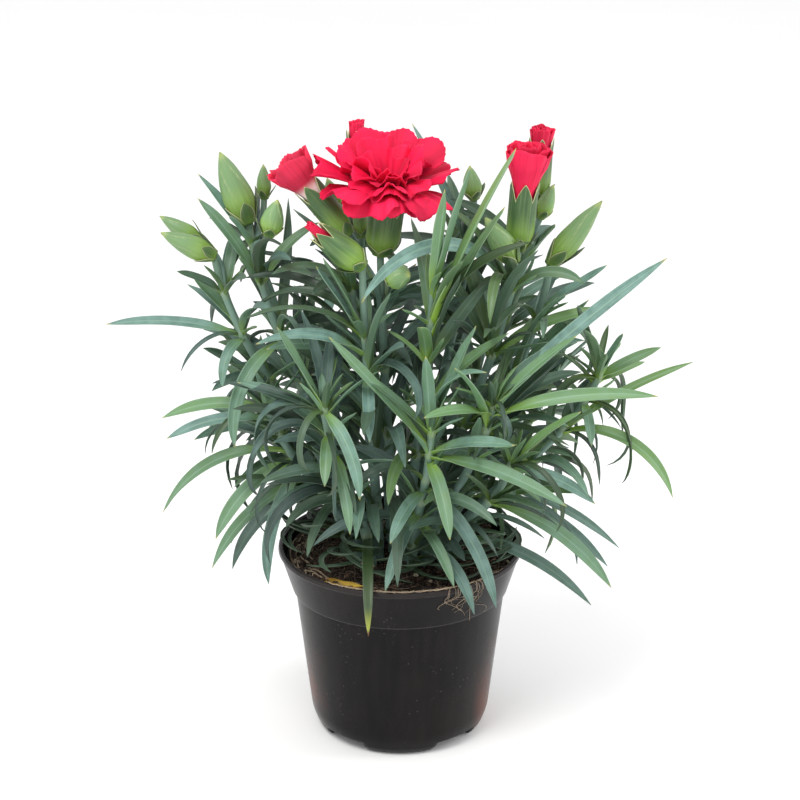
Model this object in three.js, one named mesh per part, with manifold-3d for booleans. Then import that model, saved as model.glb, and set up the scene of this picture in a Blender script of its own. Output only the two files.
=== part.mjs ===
// A carnation (dianthus) in bud and bloom in its black nursery pot, in millimetres, +Z up.
// The origin is on the ground under the centre of the pot, and the front of the plant faces -Y.
//
// Each leafy stem is one solid: its stem, its strap leaves in crossed pairs, and its buds or the
// green cup of its flower. The petals of each open or opening flower are a solid of their own,
// seated in that cup. Where a leaf would cross another stem it is bent, shortened or left out.

import * as THREE from "three";
import { mergeVertices } from "three/addons/utils/BufferGeometryUtils.js";
import Module from "manifold-3d";

const wasm = await Module();
wasm.setup();

// ---------------------------------------------------------------- driving dimensions

const POT_HEIGHT = 84;
const RIM_RADIUS = 52.5;
const RIM_BEAD = [0.7, 2.2]; // how far the lip stands out, and its height
const RIM_ROUNDING = 0.3;
const COLLAR_HEIGHT = 19;
const COLLAR_FOOT_RADIUS = 46.6;
const BODY_TOP_RADIUS = 45.4;
const BODY_LOW_RADIUS = 38.8;
const CORNER_HEIGHT = 8;
const FOOT_RADIUS = 34;
const FOOT_BEVEL = [2.6, 2.2]; // how far out and up the wall bends from the foot ring
const POT_WALL = 1.3;
const RIM_SLOPE = 0.5; // how much the collar's inner face leans in at the rim
const LEDGE_SLOPE = [0.6, 1]; // how far above and below the ledge its inner side runs
const FLOOR_HEIGHT = 5.2; // underside of the raised floor
const FOOT_RING = 2; // width of the ring that the pot stands on
const FOOT_SLOPE = 0.6; // how much wider the ring is at its top
const INNER_ROUNDING = 1.2; // how far out the floor bends into the wall
const ARCH_TURNS = [-41, 41, 139, 221]; // degrees from the front to the middle of each foot arch
const ARCH_HALF_ANGLE = 16; // degrees
const ARCH_SLOPE = 1.25; // how far each side of an arch leans
const ARCH_TOP = 4.8;
const ARCH_CUT = [8, 16]; // the cut starts this far inside the foot and is this long
const DRAIN_RADIUS = 4;
const DRAIN_RING = 20;
const DRAIN_SIDES = 10;
const POT_SIDES = 32;

const GAP = 0.3; // between pieces that touch
const FINEST_DETAIL = 0.08; // smaller slivers are merged away
const SOIL_LEVEL = 78.8; // at the wall of the pot
const SOIL_DOME = 0.2; // how much higher it is in the middle
const SOIL_LUMPS = 0.9;
const SOIL_EDGE = 0.4; // how far it sinks at the wall
const SOIL_RINGS = [0.84, 0.58, 0.28]; // shares of its radius

const STEM_FOOT = 64; // how deep the stems stand in the soil
const STEM_STRAIGHT_TO = 82; // they are upright as far as this
const STEM_LOW_RADIUS = 2.2;
const STEM_TOP_RADIUS = 1.5;
const STEM_SIDES = 5;
const STALK_RADIUS = 1.35;
const STALK_REACH = 0.45; // how far it holds its direction at each end, as a share of its length
const STALK_SEAT = 0.1; // how far it runs into its bud, as a share of the bud's length
const HOLE_CLEARANCE = 0.45;

const BLADE_STEPS = 12; // steps of a leaf's walk from root to tip
const KEEL_DEPTH = 1.3;
const KEEL_TAPER = 0.45; // how much of that depth is gone at the tip
const WIDEST = 0.35; // where a leaf is widest, as a share of its length
const ROOT_WIDTH = 0.36; // how wide it is at its root, as a share of its width
const NARROW_LEAF = 3.9; // width of the shortest leaves
const BROAD_LEAF = 7.2;
const LONG_LEAF = 60; // leaves this long are as broad as they get
const TIP_POWER = 2.4; // the higher, the longer a leaf keeps its width before it tapers
const SHORT_LEAF = 40; // shorter leaves have fewer rings
const CURLED = 0.1; // below this cosine from root to tip a leaf counts as curled
const CLEARANCE = 0.45; // kept between a leaf and what belongs to another stem
const FAR_APART = 12; // lengths further apart than this are clear of each other
const SOIL_CLEARANCE = 0.3;
const RIM_CLEARANCE = 0.5;
const RIM_MARGIN = 4.5; // how far inside the rim a leaf may hang below it
const OUTLINE_REACH = 140; // how far out the leaves of the outline may go
const REACH = 92; // and the ordinary leaves
const OUTLINE_DEPTH = 73; // how far the first go to the front and to the back
const DEPTH_REACH = 71; // and the others
const OUTLINE_TRIES = 24;
const ORDINARY_TRIES = 30;
const SAME_JOINT = 8; // a leaf of the outline this near takes an ordinary leaf's place
const SAME_SIDE = 0.6; // if the cosine between the two is above this
const CUP_WALL = 0.9;
const CUP_DEPTH = 5;
const CUP_SIDES = 10;
const BUD_SIDES = 6;
const PETAL_THICKNESS = 0.8;
const PETAL_COLUMNS = 4;
const PETAL_ROWS = 3;
const PETAL_WAVES = 4.2; // turn of the wave from the middle of a petal to its side
const PETAL_NOTCH = 0.06; // depth of the scallops, as a share of its length
const CLAW_HALF = 1.6; // half the width of a petal's claw

const UP = new THREE.Vector3(0, 0, 1);
const DEGREE = Math.PI / 180;

// ---------------------------------------------------------------- the plan of the plant
//
// foot: where the stem leaves the soil; top: where it ends; joints: the heights of its leaf joints.
// leaves: the leaves that give the plant its outline, as [height of the root, tip, droop, width].
// heads: [kind, height it branches off (0 for the stem's own end), base, tip, radius], where an
// opening flower's tip is the mouth of its cup, and three more values follow: how wide its mouth
// is against its middle, how far its petals stand out of it, and how much they widen.
// long: the length of the ordinary leaves low down; open: how far they stand off the stem.

const STEMS = [
  {
    name: "stem_bloom",
    foot: [-3, -1],
    top: [-8, -5, 214],
    joints: [104, 134, 164, 192],
    long: 70,
    leaves: [],
    heads: [
      ["bloom", 0, [-8, -5, 214], [-5, -5, 234], 7, 1],
      ["bud", 185, [-4.5, -20, 209], [4, -27.5, 212], 5.4],
    ],
  },
  {
    name: "stem_bud_left",
    foot: [-9, 5],
    top: [-21, -4, 222],
    joints: [102, 134, 166, 198],
    long: 70,
    leaves: [],
    heads: [["opening", 0, [-21, -4, 222], [-36, -3, 240], 5.4, 1, 13, 1]],
  },
  {
    name: "stem_bud_front",
    foot: [-9, -8],
    top: [-15, -25, 215],
    joints: [104, 128, 148, 166, 184],
    long: 62,
    leaves: [
      [177, [-57, -40, 187], 60, 7.3],
      [166, [-12, -52, 150], 50, 6.3],
      [184, [-33, -30, 216], 10, 5.8],
    ],
    heads: [["opening", 0, [-15, -25, 215], [-31, -29.5, 229], 6, 0.6, 4, -0.3]],
  },
  {
    name: "stem_bud_behind",
    foot: [-4, 12],
    top: [-18, 30, 234],
    joints: [110, 142, 174, 208],
    long: 72,
    leaves: [],
    heads: [
      ["opening", 0, [-18, 30, 234], [-18, 30, 255], 4.6, 0.9, 3.5, 0.2],
      ["bud", 196, [-26, 15, 228], [-30, 14, 241], 3.4],
      ["bud", 190, [-16, 12, 217], [-17, 10, 233], 3.4],
    ],
  },
  {
    name: "stem_bud_right",
    foot: [10, -3],
    top: [48, -5, 216],
    joints: [106, 138, 170, 198],
    long: 72,
    leaves: [
      [198, [-15, -43, 205], 125, 7.3],
    ],
    heads: [
      ["opening", 0, [48, -5, 216], [50, -6, 241], 5.7, 1, 15, 0.8],
      ["bud", 196, [46, -13, 213], [34, -15, 232], 5.1],
    ],
  },
  {
    name: "stem_bud_right_back",
    foot: [12, 7],
    top: [57, 18, 231],
    joints: [106, 140, 174, 206],
    long: 70,
    leaves: [],
    heads: [
      ["opening", 0, [57, 18, 231], [58, 18, 254], 5, 1, 4, 0.5],
      ["bud", 206, [58, 12, 225], [63, 11, 239], 3.6],
    ],
  },
  {
    name: "stem_bud_long",
    foot: [19, 0],
    top: [62, 5, 207],
    joints: [110, 132, 156, 182],
    long: 66,
    leaves: [
      [188, [85, 0, 208], 5, 5.3],
      [180, [84, -2, 190], 10, 4.8],
      [110, [89, -8, 76], 45, 6.8],
      [113, [95, 2, 80], 40, 5.8],
      [156, [79, 10, 190], 15, 5.8],
    ],
    heads: [["bud", 0, [62, 5, 207], [82, 0, 235], 5]],
  },
  {
    name: "stem_bud_big",
    foot: [-17, -1],
    top: [-62, 4, 225],
    joints: [104, 130, 154, 176, 199, 216],
    long: 66,
    leaves: [
      [174, [-68, -22, 136], 105, 7.3],
      [216, [-82, 5, 245], 15, 5.3],
      [199, [-82, 0, 236], 20, 6.3],
    ],
    heads: [
      ["bud", 0, [-62, 4, 225], [-73, 5, 254], 6.3],
      ["bud", 212, [-53, -8, 223], [-49, -10, 238], 4.7],
      ["bud", 210, [-56, 13, 233], [-56, 13, 247], 3],
    ],
  },
  {
    name: "stem_buds_side",
    foot: [-18, 8],
    top: [-76, -1, 212],
    joints: [106, 132, 156, 178, 196],
    long: 60,
    leaves: [
      [178, [-121, -5, 184], 30, 5.3],
      [176, [-73, -15, 160], 120, 5.8],
      [184, [-86, 5, 202], 15, 5.3],
    ],
    heads: [
      ["bud", 0, [-76, -1, 212], [-97, -5, 223], 4.7],
      ["bud", 198, [-82, 9, 215], [-99, 10, 226], 3.8],
    ],
  },
  {
    name: "stem_bud_back",
    foot: [5, 12],
    top: [31, 27, 229],
    joints: [104, 138, 172, 206],
    long: 72,
    leaves: [[205, [5, 22, 262], 15, 5.8]],
    heads: [["bud", 0, [31, 27, 229], [29, 27, 243], 4]],
  },
  {
    name: "shoot_tall",
    foot: [3, -9],
    top: [13, -24, 207],
    joints: [106, 130, 152, 172, 190],
    long: 66,
    leaves: [
      [203, [16, -46, 256], 15, 6.3],
      [201, [27, -43, 260], 10, 6.3],
      [190, [44, -45, 267], 12, 7.8],
      [184, [41, -29, 240], 15, 7.3],
      [172, [8, -46, 196], 60, 6.8],
    ],
    heads: [],
  },
  {
    name: "shoot_front",
    foot: [5, -18],
    top: [13, -32, 150],
    joints: [90, 103, 113, 124, 136, 146],
    long: 56,
    leaves: [
      [136, [65, -72, 131], 30, 7.3],
      [138, [45, -58, 151], 30, 6.8],
      [140, [-28, -40, 190], 5, 6.3],
      [142, [34, -48, 178], 105, 6.3],
      [134, [20, -57, 110], 60, 7.3],
      [121, [39, -57, 80], 60, 7.3],
      [119, [-4, -56, 108], 50, 6.8],
      [108, [-6, -56, 87], 50, 6.3],
      [103, [22, -52, 87], 55, 5.8],
      [148, [30, -38, 194], 15, 6.8],
      [146, [10, -52, 186], 20, 6.3],
    ],
    heads: [],
  },
  {
    name: "shoot_left_low",
    foot: [-12, -14],
    top: [-31, -34, 160],
    joints: [94, 112, 128, 144, 156],
    long: 52,
    leaves: [
      [157, [-16, -54, 126], 70, 6.8],
      [146, [-30, -54, 132], 60, 6.3],
      [137, [-20, -56, 112], 60, 6.3],
      [92, [-16, -61, 62], 110, 5.6],
      [158, [-48, -46, 196], 10, 6.3],
    ],
    heads: [],
  },
  {
    name: "shoot_left_fan",
    foot: [-17, -9],
    top: [-56, -8, 152],
    joints: [110, 123, 136, 148],
    long: 54,
    leaves: [
      [126, [-77, -24, 96], 60, 7.8],
      [118, [-80, -14, 78], 50, 6.8],
      [122, [-55, -28, 77], 80, 6.8],
      [130, [-101, -5, 100], 75, 6.8],
      [148, [-101, 5, 139], 45, 6.8],
      [144, [-97, -14, 137], 45, 6.3],
      [136, [-88, 10, 145], 20, 4.8],
    ],
    heads: [],
  },
  {
    name: "shoot_right_front",
    foot: [11, -13],
    top: [38, -30, 160],
    joints: [94, 112, 130, 146, 157],
    long: 60,
    leaves: [
      [158, [106, -25, 218], 12, 7.3],
      [153, [103, -40, 165], 30, 6.8],
      [154, [-10, -52, 163], 30, 6.3],
      [156, [70, -38, 190], 20, 6.3],
      [148, [22, -60, 185], 40, 6.3],
    ],
    heads: [],
  },
  {
    name: "shoot_right",
    foot: [18, -9],
    top: [83, -8, 165],
    joints: [108, 124, 139, 152, 162],
    long: 50,
    leaves: [
      [162, [108, -5, 174], 15, 5.3],
      [163, [91, -14, 183], 10, 5.3],
      [160, [103, 6, 164], 20, 5.3],
      [139, [120, -15, 171], 20, 4.6],
      [138, [113, -25, 115], 100, 6.3],
      [151, [79, -22, 137], 60, 5.3],
    ],
    heads: [],
  },
  {
    name: "shoot_right_low",
    foot: [18, -17],
    top: [46, -30, 134],
    joints: [98, 114, 130],
    long: 52,
    leaves: [
      [130, [80, -34, 116], 45, 6.3],
      [114, [87, -42, 82], 50, 7.3],
      [96, [79, -42, 74], 50, 6.3],
      [132, [72, -44, 160], 25, 6.3],
    ],
    heads: [],
  },
  {
    name: "shoot_back_left",
    foot: [-10, 17],
    top: [-38, 38, 166],
    joints: [104, 122, 140, 156],
    long: 64,
    leaves: [],
    heads: [],
  },
  {
    name: "shoot_back_right",
    foot: [11, 17],
    top: [38, 40, 170],
    joints: [94, 112, 130, 146, 162],
    long: 64,
    leaves: [],
    heads: [],
  },
  {
    name: "shoot_back",
    foot: [1, 21],
    top: [3, 50, 146],
    joints: [98, 114, 130, 142],
    long: 60,
    leaves: [
      [130, [14, 72, 116], 60, 6.8],
      [114, [-18, 70, 92], 60, 6.8],
    ],
    heads: [],
  },
  {
    name: "shoot_right_back",
    foot: [19, 10],
    top: [66, 25, 152],
    joints: [98, 114, 130, 144],
    long: 56,
    leaves: [],
    heads: [],
  },
  {
    name: "shoot_left_back",
    foot: [-19, 15],
    top: [-62, 27, 152],
    joints: [96, 112, 128, 144],
    long: 56,
    leaves: [],
    heads: [],
  },
];

// ---------------------------------------------------------------- seeded draw

let seed = 20617;

// A number from low to high, the next of one fixed row of draws.
function draw(low, high) {
  seed = (seed * 16807) % 2147483647;
  return low + ((high - low) * seed) / 2147483647;
}

// ---------------------------------------------------------------- solids from rings

// A closed skin over a row of rings with the same number of points, which run anticlockwise when
// seen from the last ring. A ring of a single point is a tip.
function skin(rings) {
  const position = [];
  const triangle = (a, b, c) => position.push(...a.toArray(), ...b.toArray(), ...c.toArray());
  const first = rings[0];
  const last = rings[rings.length - 1];
  for (let i = 1; i + 1 < first.length; i++) triangle(first[0], first[i + 1], first[i]);
  for (let i = 1; i + 1 < last.length; i++) triangle(last[0], last[i], last[i + 1]);
  for (let k = 0; k + 1 < rings.length; k++) {
    const low = rings[k];
    const high = rings[k + 1];
    const count = Math.max(low.length, high.length);
    for (let i = 0; i < count; i++) {
      const next = (i + 1) % count;
      if (low.length > 1) triangle(low[i], low[next], high[next % high.length]);
      if (high.length > 1) triangle(low[i % low.length], high[next], high[i]);
    }
  }
  const geometry = new THREE.BufferGeometry();
  geometry.setAttribute("position", new THREE.Float32BufferAttribute(position, 3));
  return geometry;
}

function solid(geometry) {
  const bare = new THREE.BufferGeometry();
  const source = geometry.index ? geometry.toNonIndexed() : geometry;
  bare.setAttribute("position", source.getAttribute("position"));
  const merged = mergeVertices(bare, 1e-4);
  return new wasm.Manifold(
    new wasm.Mesh({
      numProp: 3,
      vertProperties: merged.attributes.position.array,
      triVerts: new Uint32Array(merged.index.array),
    }),
  );
}

// The one body that the given solids make together.
function fuse(solids) {
  let level = solids;
  while (level.length > 1) {
    const next = [];
    for (let i = 0; i < level.length; i += 2) {
      next.push(i + 1 < level.length ? level[i].add(level[i + 1]) : level[i]);
    }
    level = next;
  }
  return level[0];
}

// The largest body of a solid, with loose scraps dropped, sealed hollows filled and the slivers
// left by fusing merged away.
function mainBody(whole) {
  const bodies = whole.decompose();
  bodies.sort((a, b) => b.volume() - a.volume());
  let body = bodies[0];
  for (const hollow of bodies.filter((b) => b.volume() < 0)) body = body.subtract(hollow);
  return body.simplify(FINEST_DETAIL);
}

function meshOf(name, manifold, material) {
  const data = manifold.getMesh();
  const position = new Float32Array(data.numVert * 3);
  for (let i = 0; i < data.numVert; i++) {
    const start = i * data.numProp;
    position.set(data.vertProperties.subarray(start, start + 3), i * 3);
  }
  const geometry = new THREE.BufferGeometry();
  geometry.setAttribute("position", new THREE.BufferAttribute(position, 3));
  geometry.setIndex(new THREE.BufferAttribute(data.triVerts, 1));
  geometry.computeVertexNormals();
  const mesh = new THREE.Mesh(geometry, material);
  mesh.name = name;
  return mesh;
}

// A ring of points round an axis, the first in the direction of side.
function ringAt(centre, axis, side, radius, count) {
  const across = new THREE.Vector3().crossVectors(axis, side);
  const ring = [];
  for (let i = 0; i < count; i++) {
    const turn = (i / count) * 2 * Math.PI;
    ring.push(
      centre
        .clone()
        .addScaledVector(side, radius * Math.cos(turn))
        .addScaledVector(across, radius * Math.sin(turn)),
    );
  }
  return ring;
}

// A direction square to the axis, as near to -Y as it can be.
function sideOf(axis) {
  const front = new THREE.Vector3(0, -1, 0);
  const side = front.addScaledVector(axis, -front.dot(axis));
  return side.length() > 0.2 ? side.normalize() : new THREE.Vector3(1, 0, 0);
}

// ---------------------------------------------------------------- stems

// The two points that bend a stem, as shares of its way: [out, up].
const LEANING = [0.15, 0.33];
const UPRIGHT = [0.85, 0.6];

// The line of a stem: upright in the soil, leaning out, then nearly upright again at its top.
function stemCurve(foot, top) {
  const low = new THREE.Vector3(foot[0], foot[1], STEM_STRAIGHT_TO);
  const high = new THREE.Vector3(...top);
  const way = high.clone().sub(low);
  const [leaning, upright] = [LEANING, UPRIGHT].map(([out, up]) =>
    low.clone().add(new THREE.Vector3(out * way.x, out * way.y, up * way.z)),
  );
  return new THREE.CubicBezierCurve3(low, leaning, upright, high);
}

// How far along the curve, from 0 to 1, the stem reaches a height.
function alongAt(curve, height) {
  let low = 0;
  let high = 1;
  for (let i = 0; i < 30; i++) {
    const middle = (low + high) / 2;
    if (curve.getPoint(middle).z < height) low = middle;
    else high = middle;
  }
  return (low + high) / 2;
}

function stemRadius(along) {
  return STEM_LOW_RADIUS + (STEM_TOP_RADIUS - STEM_LOW_RADIUS) * along;
}

// How far along a stem it has a ring: at its foot, its joints and its top.
function stemStations(stem) {
  return [0, ...stem.joints.map((height) => alongAt(stem.curve, height)), 1];
}

function stemSolid(stem) {
  const foot = new THREE.Vector3(stem.foot[0], stem.foot[1], STEM_FOOT);
  const rings = [ringAt(foot, UP, sideOf(UP), STEM_LOW_RADIUS, STEM_SIDES)];
  for (const along of stemStations(stem)) {
    const axis = along ? stem.curve.getTangent(along) : UP;
    const centre = stem.curve.getPoint(along);
    rings.push(ringAt(centre, axis, sideOf(axis), stemRadius(along), STEM_SIDES));
  }
  return solid(skin(rings));
}

// ---------------------------------------------------------------- leaf blades

// Walks from the root along an arc whose pitch falls by droop and whose heading turns by side.
// Each place has its point, its way on, its width direction and its upper face's normal.
function walkBlade(root, heading, rise, droop, side, twist, length, width, depth) {
  const step = length / BLADE_STEPS;
  const places = [];
  const point = root.clone();
  for (let i = 0; i <= BLADE_STEPS; i++) {
    const s = i / BLADE_STEPS;
    const pitch = rise - droop * s;
    const turn = heading + side * s;
    const on = new THREE.Vector3(
      Math.cos(pitch) * Math.cos(turn),
      Math.cos(pitch) * Math.sin(turn),
      Math.sin(pitch),
    );
    const level = new THREE.Vector3(-Math.sin(turn), Math.cos(turn), 0);
    const face = new THREE.Vector3().crossVectors(on, level);
    const lean = twist * s;
    const across = level
      .clone()
      .multiplyScalar(Math.cos(lean))
      .addScaledVector(face, Math.sin(lean));
    const normal = new THREE.Vector3().crossVectors(on, across);
    places.push({ s, point: point.clone(), on, across, normal });
    const middle = pitch - (0.5 * droop) / BLADE_STEPS;
    const turned = turn + (0.5 * side) / BLADE_STEPS;
    point.x += step * Math.cos(middle) * Math.cos(turned);
    point.y += step * Math.cos(middle) * Math.sin(turned);
    point.z += step * Math.sin(middle);
  }
  return { places, length, width, depth };
}

// Half the width of a strap leaf: narrow at its clasping base, widest before the middle, pointed.
function halfWidth(width, s) {
  if (s < WIDEST) {
    const t = s / WIDEST;
    return 0.5 * width * (ROOT_WIDTH + (1 - ROOT_WIDTH) * t * t * (3 - 2 * t));
  }
  return 0.5 * width * (1 - Math.pow((s - WIDEST) / (1 - WIDEST), TIP_POWER));
}

// How many steps lie between two rings of a blade: curled leaves have more rings, short ones fewer.
function strideOf(blade) {
  const bend = blade.places[0].on.dot(blade.places[BLADE_STEPS].on);
  if (bend < CURLED) return 2;
  return blade.length < SHORT_LEAF ? 4 : 3;
}

// A three-sided blade: two edges and a keel below.
function bladeSolid(blade, stride) {
  const rings = [];
  for (let i = 0; i <= BLADE_STEPS; i += stride) {
    const { s, point, across, normal } = blade.places[i];
    if (i === BLADE_STEPS) {
      rings.push([point]);
      break;
    }
    const half = halfWidth(blade.width, s);
    const depth = blade.depth * (1 - KEEL_TAPER * s);
    rings.push([
      point.clone().addScaledVector(across, half),
      point.clone().addScaledVector(across, -half),
      point.clone().addScaledVector(normal, -depth),
    ]);
  }
  return solid(skin(rings));
}

// ---------------------------------------------------------------- what a leaf has to keep clear of

const taken = []; // {owner, a, b, across, normal, wide, deep}: a length of stem, leaf or flower

function takeRound(owner, a, b, radius) {
  taken.push({ owner, a, b, across: null, normal: null, wide: radius, deep: radius });
}

function bladeLengths(blade, owner) {
  const lengths = [];
  for (let i = 0; i < BLADE_STEPS; i += 2) {
    const from = blade.places[i];
    const to = blade.places[i + 2];
    const wide = Math.max(halfWidth(blade.width, from.s), halfWidth(blade.width, to.s));
    const { across, normal } = blade.places[i + 1];
    const middle = -0.5 * blade.depth;
    lengths.push({
      owner,
      a: from.point.clone().addScaledVector(normal, middle),
      b: to.point.clone().addScaledVector(normal, middle),
      across,
      normal,
      wide,
      deep: 0.5 * blade.depth,
    });
  }
  return lengths;
}

// The shortest way from one length to another.
function shortestWay(one, two) {
  const d1 = one.b.clone().sub(one.a);
  const d2 = two.b.clone().sub(two.a);
  const r = one.a.clone().sub(two.a);
  const a = d1.dot(d1);
  const e = d2.dot(d2);
  const f = d2.dot(r);
  const c = d1.dot(r);
  const b = d1.dot(d2);
  const denominator = a * e - b * b;
  let s = denominator > 1e-9 ? THREE.MathUtils.clamp((b * f - c * e) / denominator, 0, 1) : 0;
  let t = (b * s + f) / e;
  if (t < 0) {
    t = 0;
    s = THREE.MathUtils.clamp(-c / a, 0, 1);
  } else if (t > 1) {
    t = 1;
    s = THREE.MathUtils.clamp((b - c) / a, 0, 1);
  }
  return r.addScaledVector(d1, s).addScaledVector(d2, -t);
}

function thicknessAlong(piece, way) {
  if (!piece.across) return piece.wide;
  return Math.abs(piece.across.dot(way)) * piece.wide + Math.abs(piece.normal.dot(way)) * piece.deep;
}

function clearOfPlant(lengths, owner) {
  for (const other of taken) {
    if (other.owner === owner) continue;
    for (const length of lengths) {
      const way = shortestWay(length, other);
      const distance = way.length();
      if (distance > FAR_APART) continue;
      way.divideScalar(distance + 1e-9);
      const room = thicknessAlong(length, way) + thicknessAlong(other, way);
      if (distance < room + CLEARANCE) return false;
    }
  }
  return true;
}

// Whether a leaf stays over the soil or outside the pot, and over the rim where it crosses it.
function clearOfPot(blade) {
  const soilTop = SOIL_LEVEL + SOIL_DOME + SOIL_LUMPS + SOIL_CLEARANCE;
  const parts = 3; // places looked at in each step of the blade
  for (let i = 0; i < BLADE_STEPS * parts; i++) {
    const from = blade.places[Math.floor(i / parts)];
    const to = blade.places[Math.floor(i / parts) + 1];
    const point = from.point.clone().lerp(to.point, (i % parts) / parts);
    const half = halfWidth(blade.width, from.s);
    const tall = half * Math.abs(from.across.z) + blade.depth;
    const radius = Math.hypot(point.x, point.y);
    const radial =
      (half * Math.abs(from.across.x * point.x + from.across.y * point.y)) / (radius + 1e-9) +
      blade.depth;
    if (point.z - tall > POT_HEIGHT + RIM_CLEARANCE) continue;
    if (radius - radial > RIM_RADIUS + RIM_CLEARANCE) continue;
    const inside = radius + radial < RIM_RADIUS - RIM_MARGIN;
    if (!inside || point.z - tall < soilTop) return false;
  }
  return true;
}

// ---------------------------------------------------------------- heads

// Rings of a bud or cup: [share of its length, share of its radius].
const BUD_PROFILE = [
  [0, 0.45],
  [0.33, 1],
  [0.7, 0.64],
];
const CUP_PROFILE = [
  [0, 0.45],
  [0.35, 1],
];
const TOOTH = 0.15; // half the height of a cup's teeth, as a share of its length

function headFrame(head) {
  const base = new THREE.Vector3(...head[2]);
  const tip = new THREE.Vector3(...head[3]);
  const axis = tip.clone().sub(base);
  const length = axis.length();
  axis.normalize();
  const radius = head[4];
  const mouth = radius * head[5];
  return { base, tip, axis, length, side: sideOf(axis), radius, mouth };
}

function budSolid(head) {
  const { base, tip, axis, length, side, radius } = headFrame(head);
  const rings = BUD_PROFILE.map(([share, size]) =>
    ringAt(base.clone().addScaledVector(axis, share * length), axis, side, size * radius, BUD_SIDES),
  );
  rings.push([tip]);
  return solid(skin(rings));
}

// A green cup with five teeth round a shallow seat for the petals.
function cupSolid(head) {
  const { base, axis, length, side, radius, mouth } = headFrame(head);
  const rings = CUP_PROFILE.map(([share, size]) =>
    ringAt(base.clone().addScaledVector(axis, share * length), axis, side, size * radius, CUP_SIDES),
  );
  const rim = base.clone().addScaledVector(axis, length);
  for (const size of [mouth, mouth - CUP_WALL]) {
    const toothed = ringAt(rim, axis, side, size, CUP_SIDES);
    toothed.forEach((p, i) => p.addScaledVector(axis, (i % 2 ? -TOOTH : TOOTH) * length));
    rings.push(toothed);
  }
  const seat = rim.clone().addScaledVector(axis, -CUP_DEPTH);
  rings.push(ringAt(seat, axis, side, mouth - CUP_WALL, CUP_SIDES));
  return solid(skin(rings));
}

// The stalk of a side bud, from its joint on the stem to the foot of the bud.
function stalkCurve(stem, head) {
  const { base, axis, length } = headFrame(head);
  const root = stem.curve.getPoint(alongAt(stem.curve, head[1]));
  const reach = STALK_REACH * base.distanceTo(root);
  const leaving = root.clone().addScaledVector(UP, reach);
  const arriving = base.clone().addScaledVector(axis, -reach);
  const inside = base.clone().addScaledVector(axis, STALK_SEAT * length);
  return new THREE.CubicBezierCurve3(root, leaving, arriving, inside);
}

function stalkSolid(curve) {
  const rings = [0, 0.5, 1].map((along) => {
    const axis = curve.getTangent(along);
    return ringAt(curve.getPoint(along), axis, sideOf(axis), STALK_RADIUS, STEM_SIDES);
  });
  return solid(skin(rings));
}

// ---------------------------------------------------------------- petals

// A fan-shaped petal. Its rows run from the claw to the scalloped margin, and its face is waved.
function petalSolid(root, heading, rise, droop, length, wave, phase, spread) {
  const top = [];
  const bottom = [];
  for (let j = 0; j <= PETAL_ROWS; j++) {
    const v = j / PETAL_ROWS;
    for (let i = 0; i <= PETAL_COLUMNS; i++) {
      const u = (2 * i) / PETAL_COLUMNS - 1;
      const notch = j === PETAL_ROWS ? 1 + PETAL_NOTCH * (i % 2 ? 1 : -1) : 1;
      const forward = length * v * Math.cos(u * spread) * notch;
      const lateral = length * v * Math.sin(u * spread) * notch + CLAW_HALF * u * (1 - v);
      const bent = (forward / length) * droop;
      const chord = forward * (bent ? Math.sin(bent / 2) / (bent / 2) : 1);
      const pitch = rise - bent / 2;
      const ruffle = wave * v * v * Math.sin(u * PETAL_WAVES + phase);
      const facing = rise - bent;
      const normal = new THREE.Vector3(
        -Math.sin(facing) * Math.cos(heading),
        -Math.sin(facing) * Math.sin(heading),
        Math.cos(facing),
      );
      const point = root.clone();
      point.x += chord * Math.cos(pitch) * Math.cos(heading) - lateral * Math.sin(heading);
      point.y += chord * Math.cos(pitch) * Math.sin(heading) + lateral * Math.cos(heading);
      point.z += chord * Math.sin(pitch);
      point.addScaledVector(normal, ruffle);
      top.push(point.clone().addScaledVector(normal, PETAL_THICKNESS / 2));
      bottom.push(point.clone().addScaledVector(normal, -PETAL_THICKNESS / 2));
    }
  }
  return solid(slab(top, bottom, PETAL_COLUMNS, PETAL_ROWS));
}

// A closed slab between two grids of points, both split along the same diagonals.
function slab(top, bottom, columns, rows) {
  const position = [];
  const triangle = (a, b, c) => position.push(...a.toArray(), ...b.toArray(), ...c.toArray());
  const at = (i, j) => j * (columns + 1) + i;
  for (let j = 0; j < rows; j++) {
    for (let i = 0; i < columns; i++) {
      const corners = [at(i, j), at(i + 1, j), at(i + 1, j + 1), at(i, j + 1)];
      const [a, b, c, d] = corners;
      triangle(top[a], top[c], top[b]);
      triangle(top[a], top[d], top[c]);
      triangle(bottom[a], bottom[b], bottom[c]);
      triangle(bottom[a], bottom[c], bottom[d]);
    }
  }
  const rim = [];
  for (let i = 0; i < columns; i++) rim.push(at(i, 0));
  for (let j = 0; j < rows; j++) rim.push(at(columns, j));
  for (let i = columns; i > 0; i--) rim.push(at(i, rows));
  for (let j = rows; j > 0; j--) rim.push(at(0, j));
  rim.forEach((a, k) => {
    const b = rim[(k + 1) % rim.length];
    triangle(top[a], top[b], bottom[a]);
    triangle(top[b], bottom[b], bottom[a]);
  });
  const geometry = new THREE.BufferGeometry();
  geometry.setAttribute("position", new THREE.Float32BufferAttribute(position, 3));
  return geometry;
}

// The radius of the petals' claws, where they fill the mouth of a cup.
function clawRadius(mouth) {
  return mouth - CUP_WALL - GAP / Math.cos(Math.PI / CUP_SIDES);
}

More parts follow.
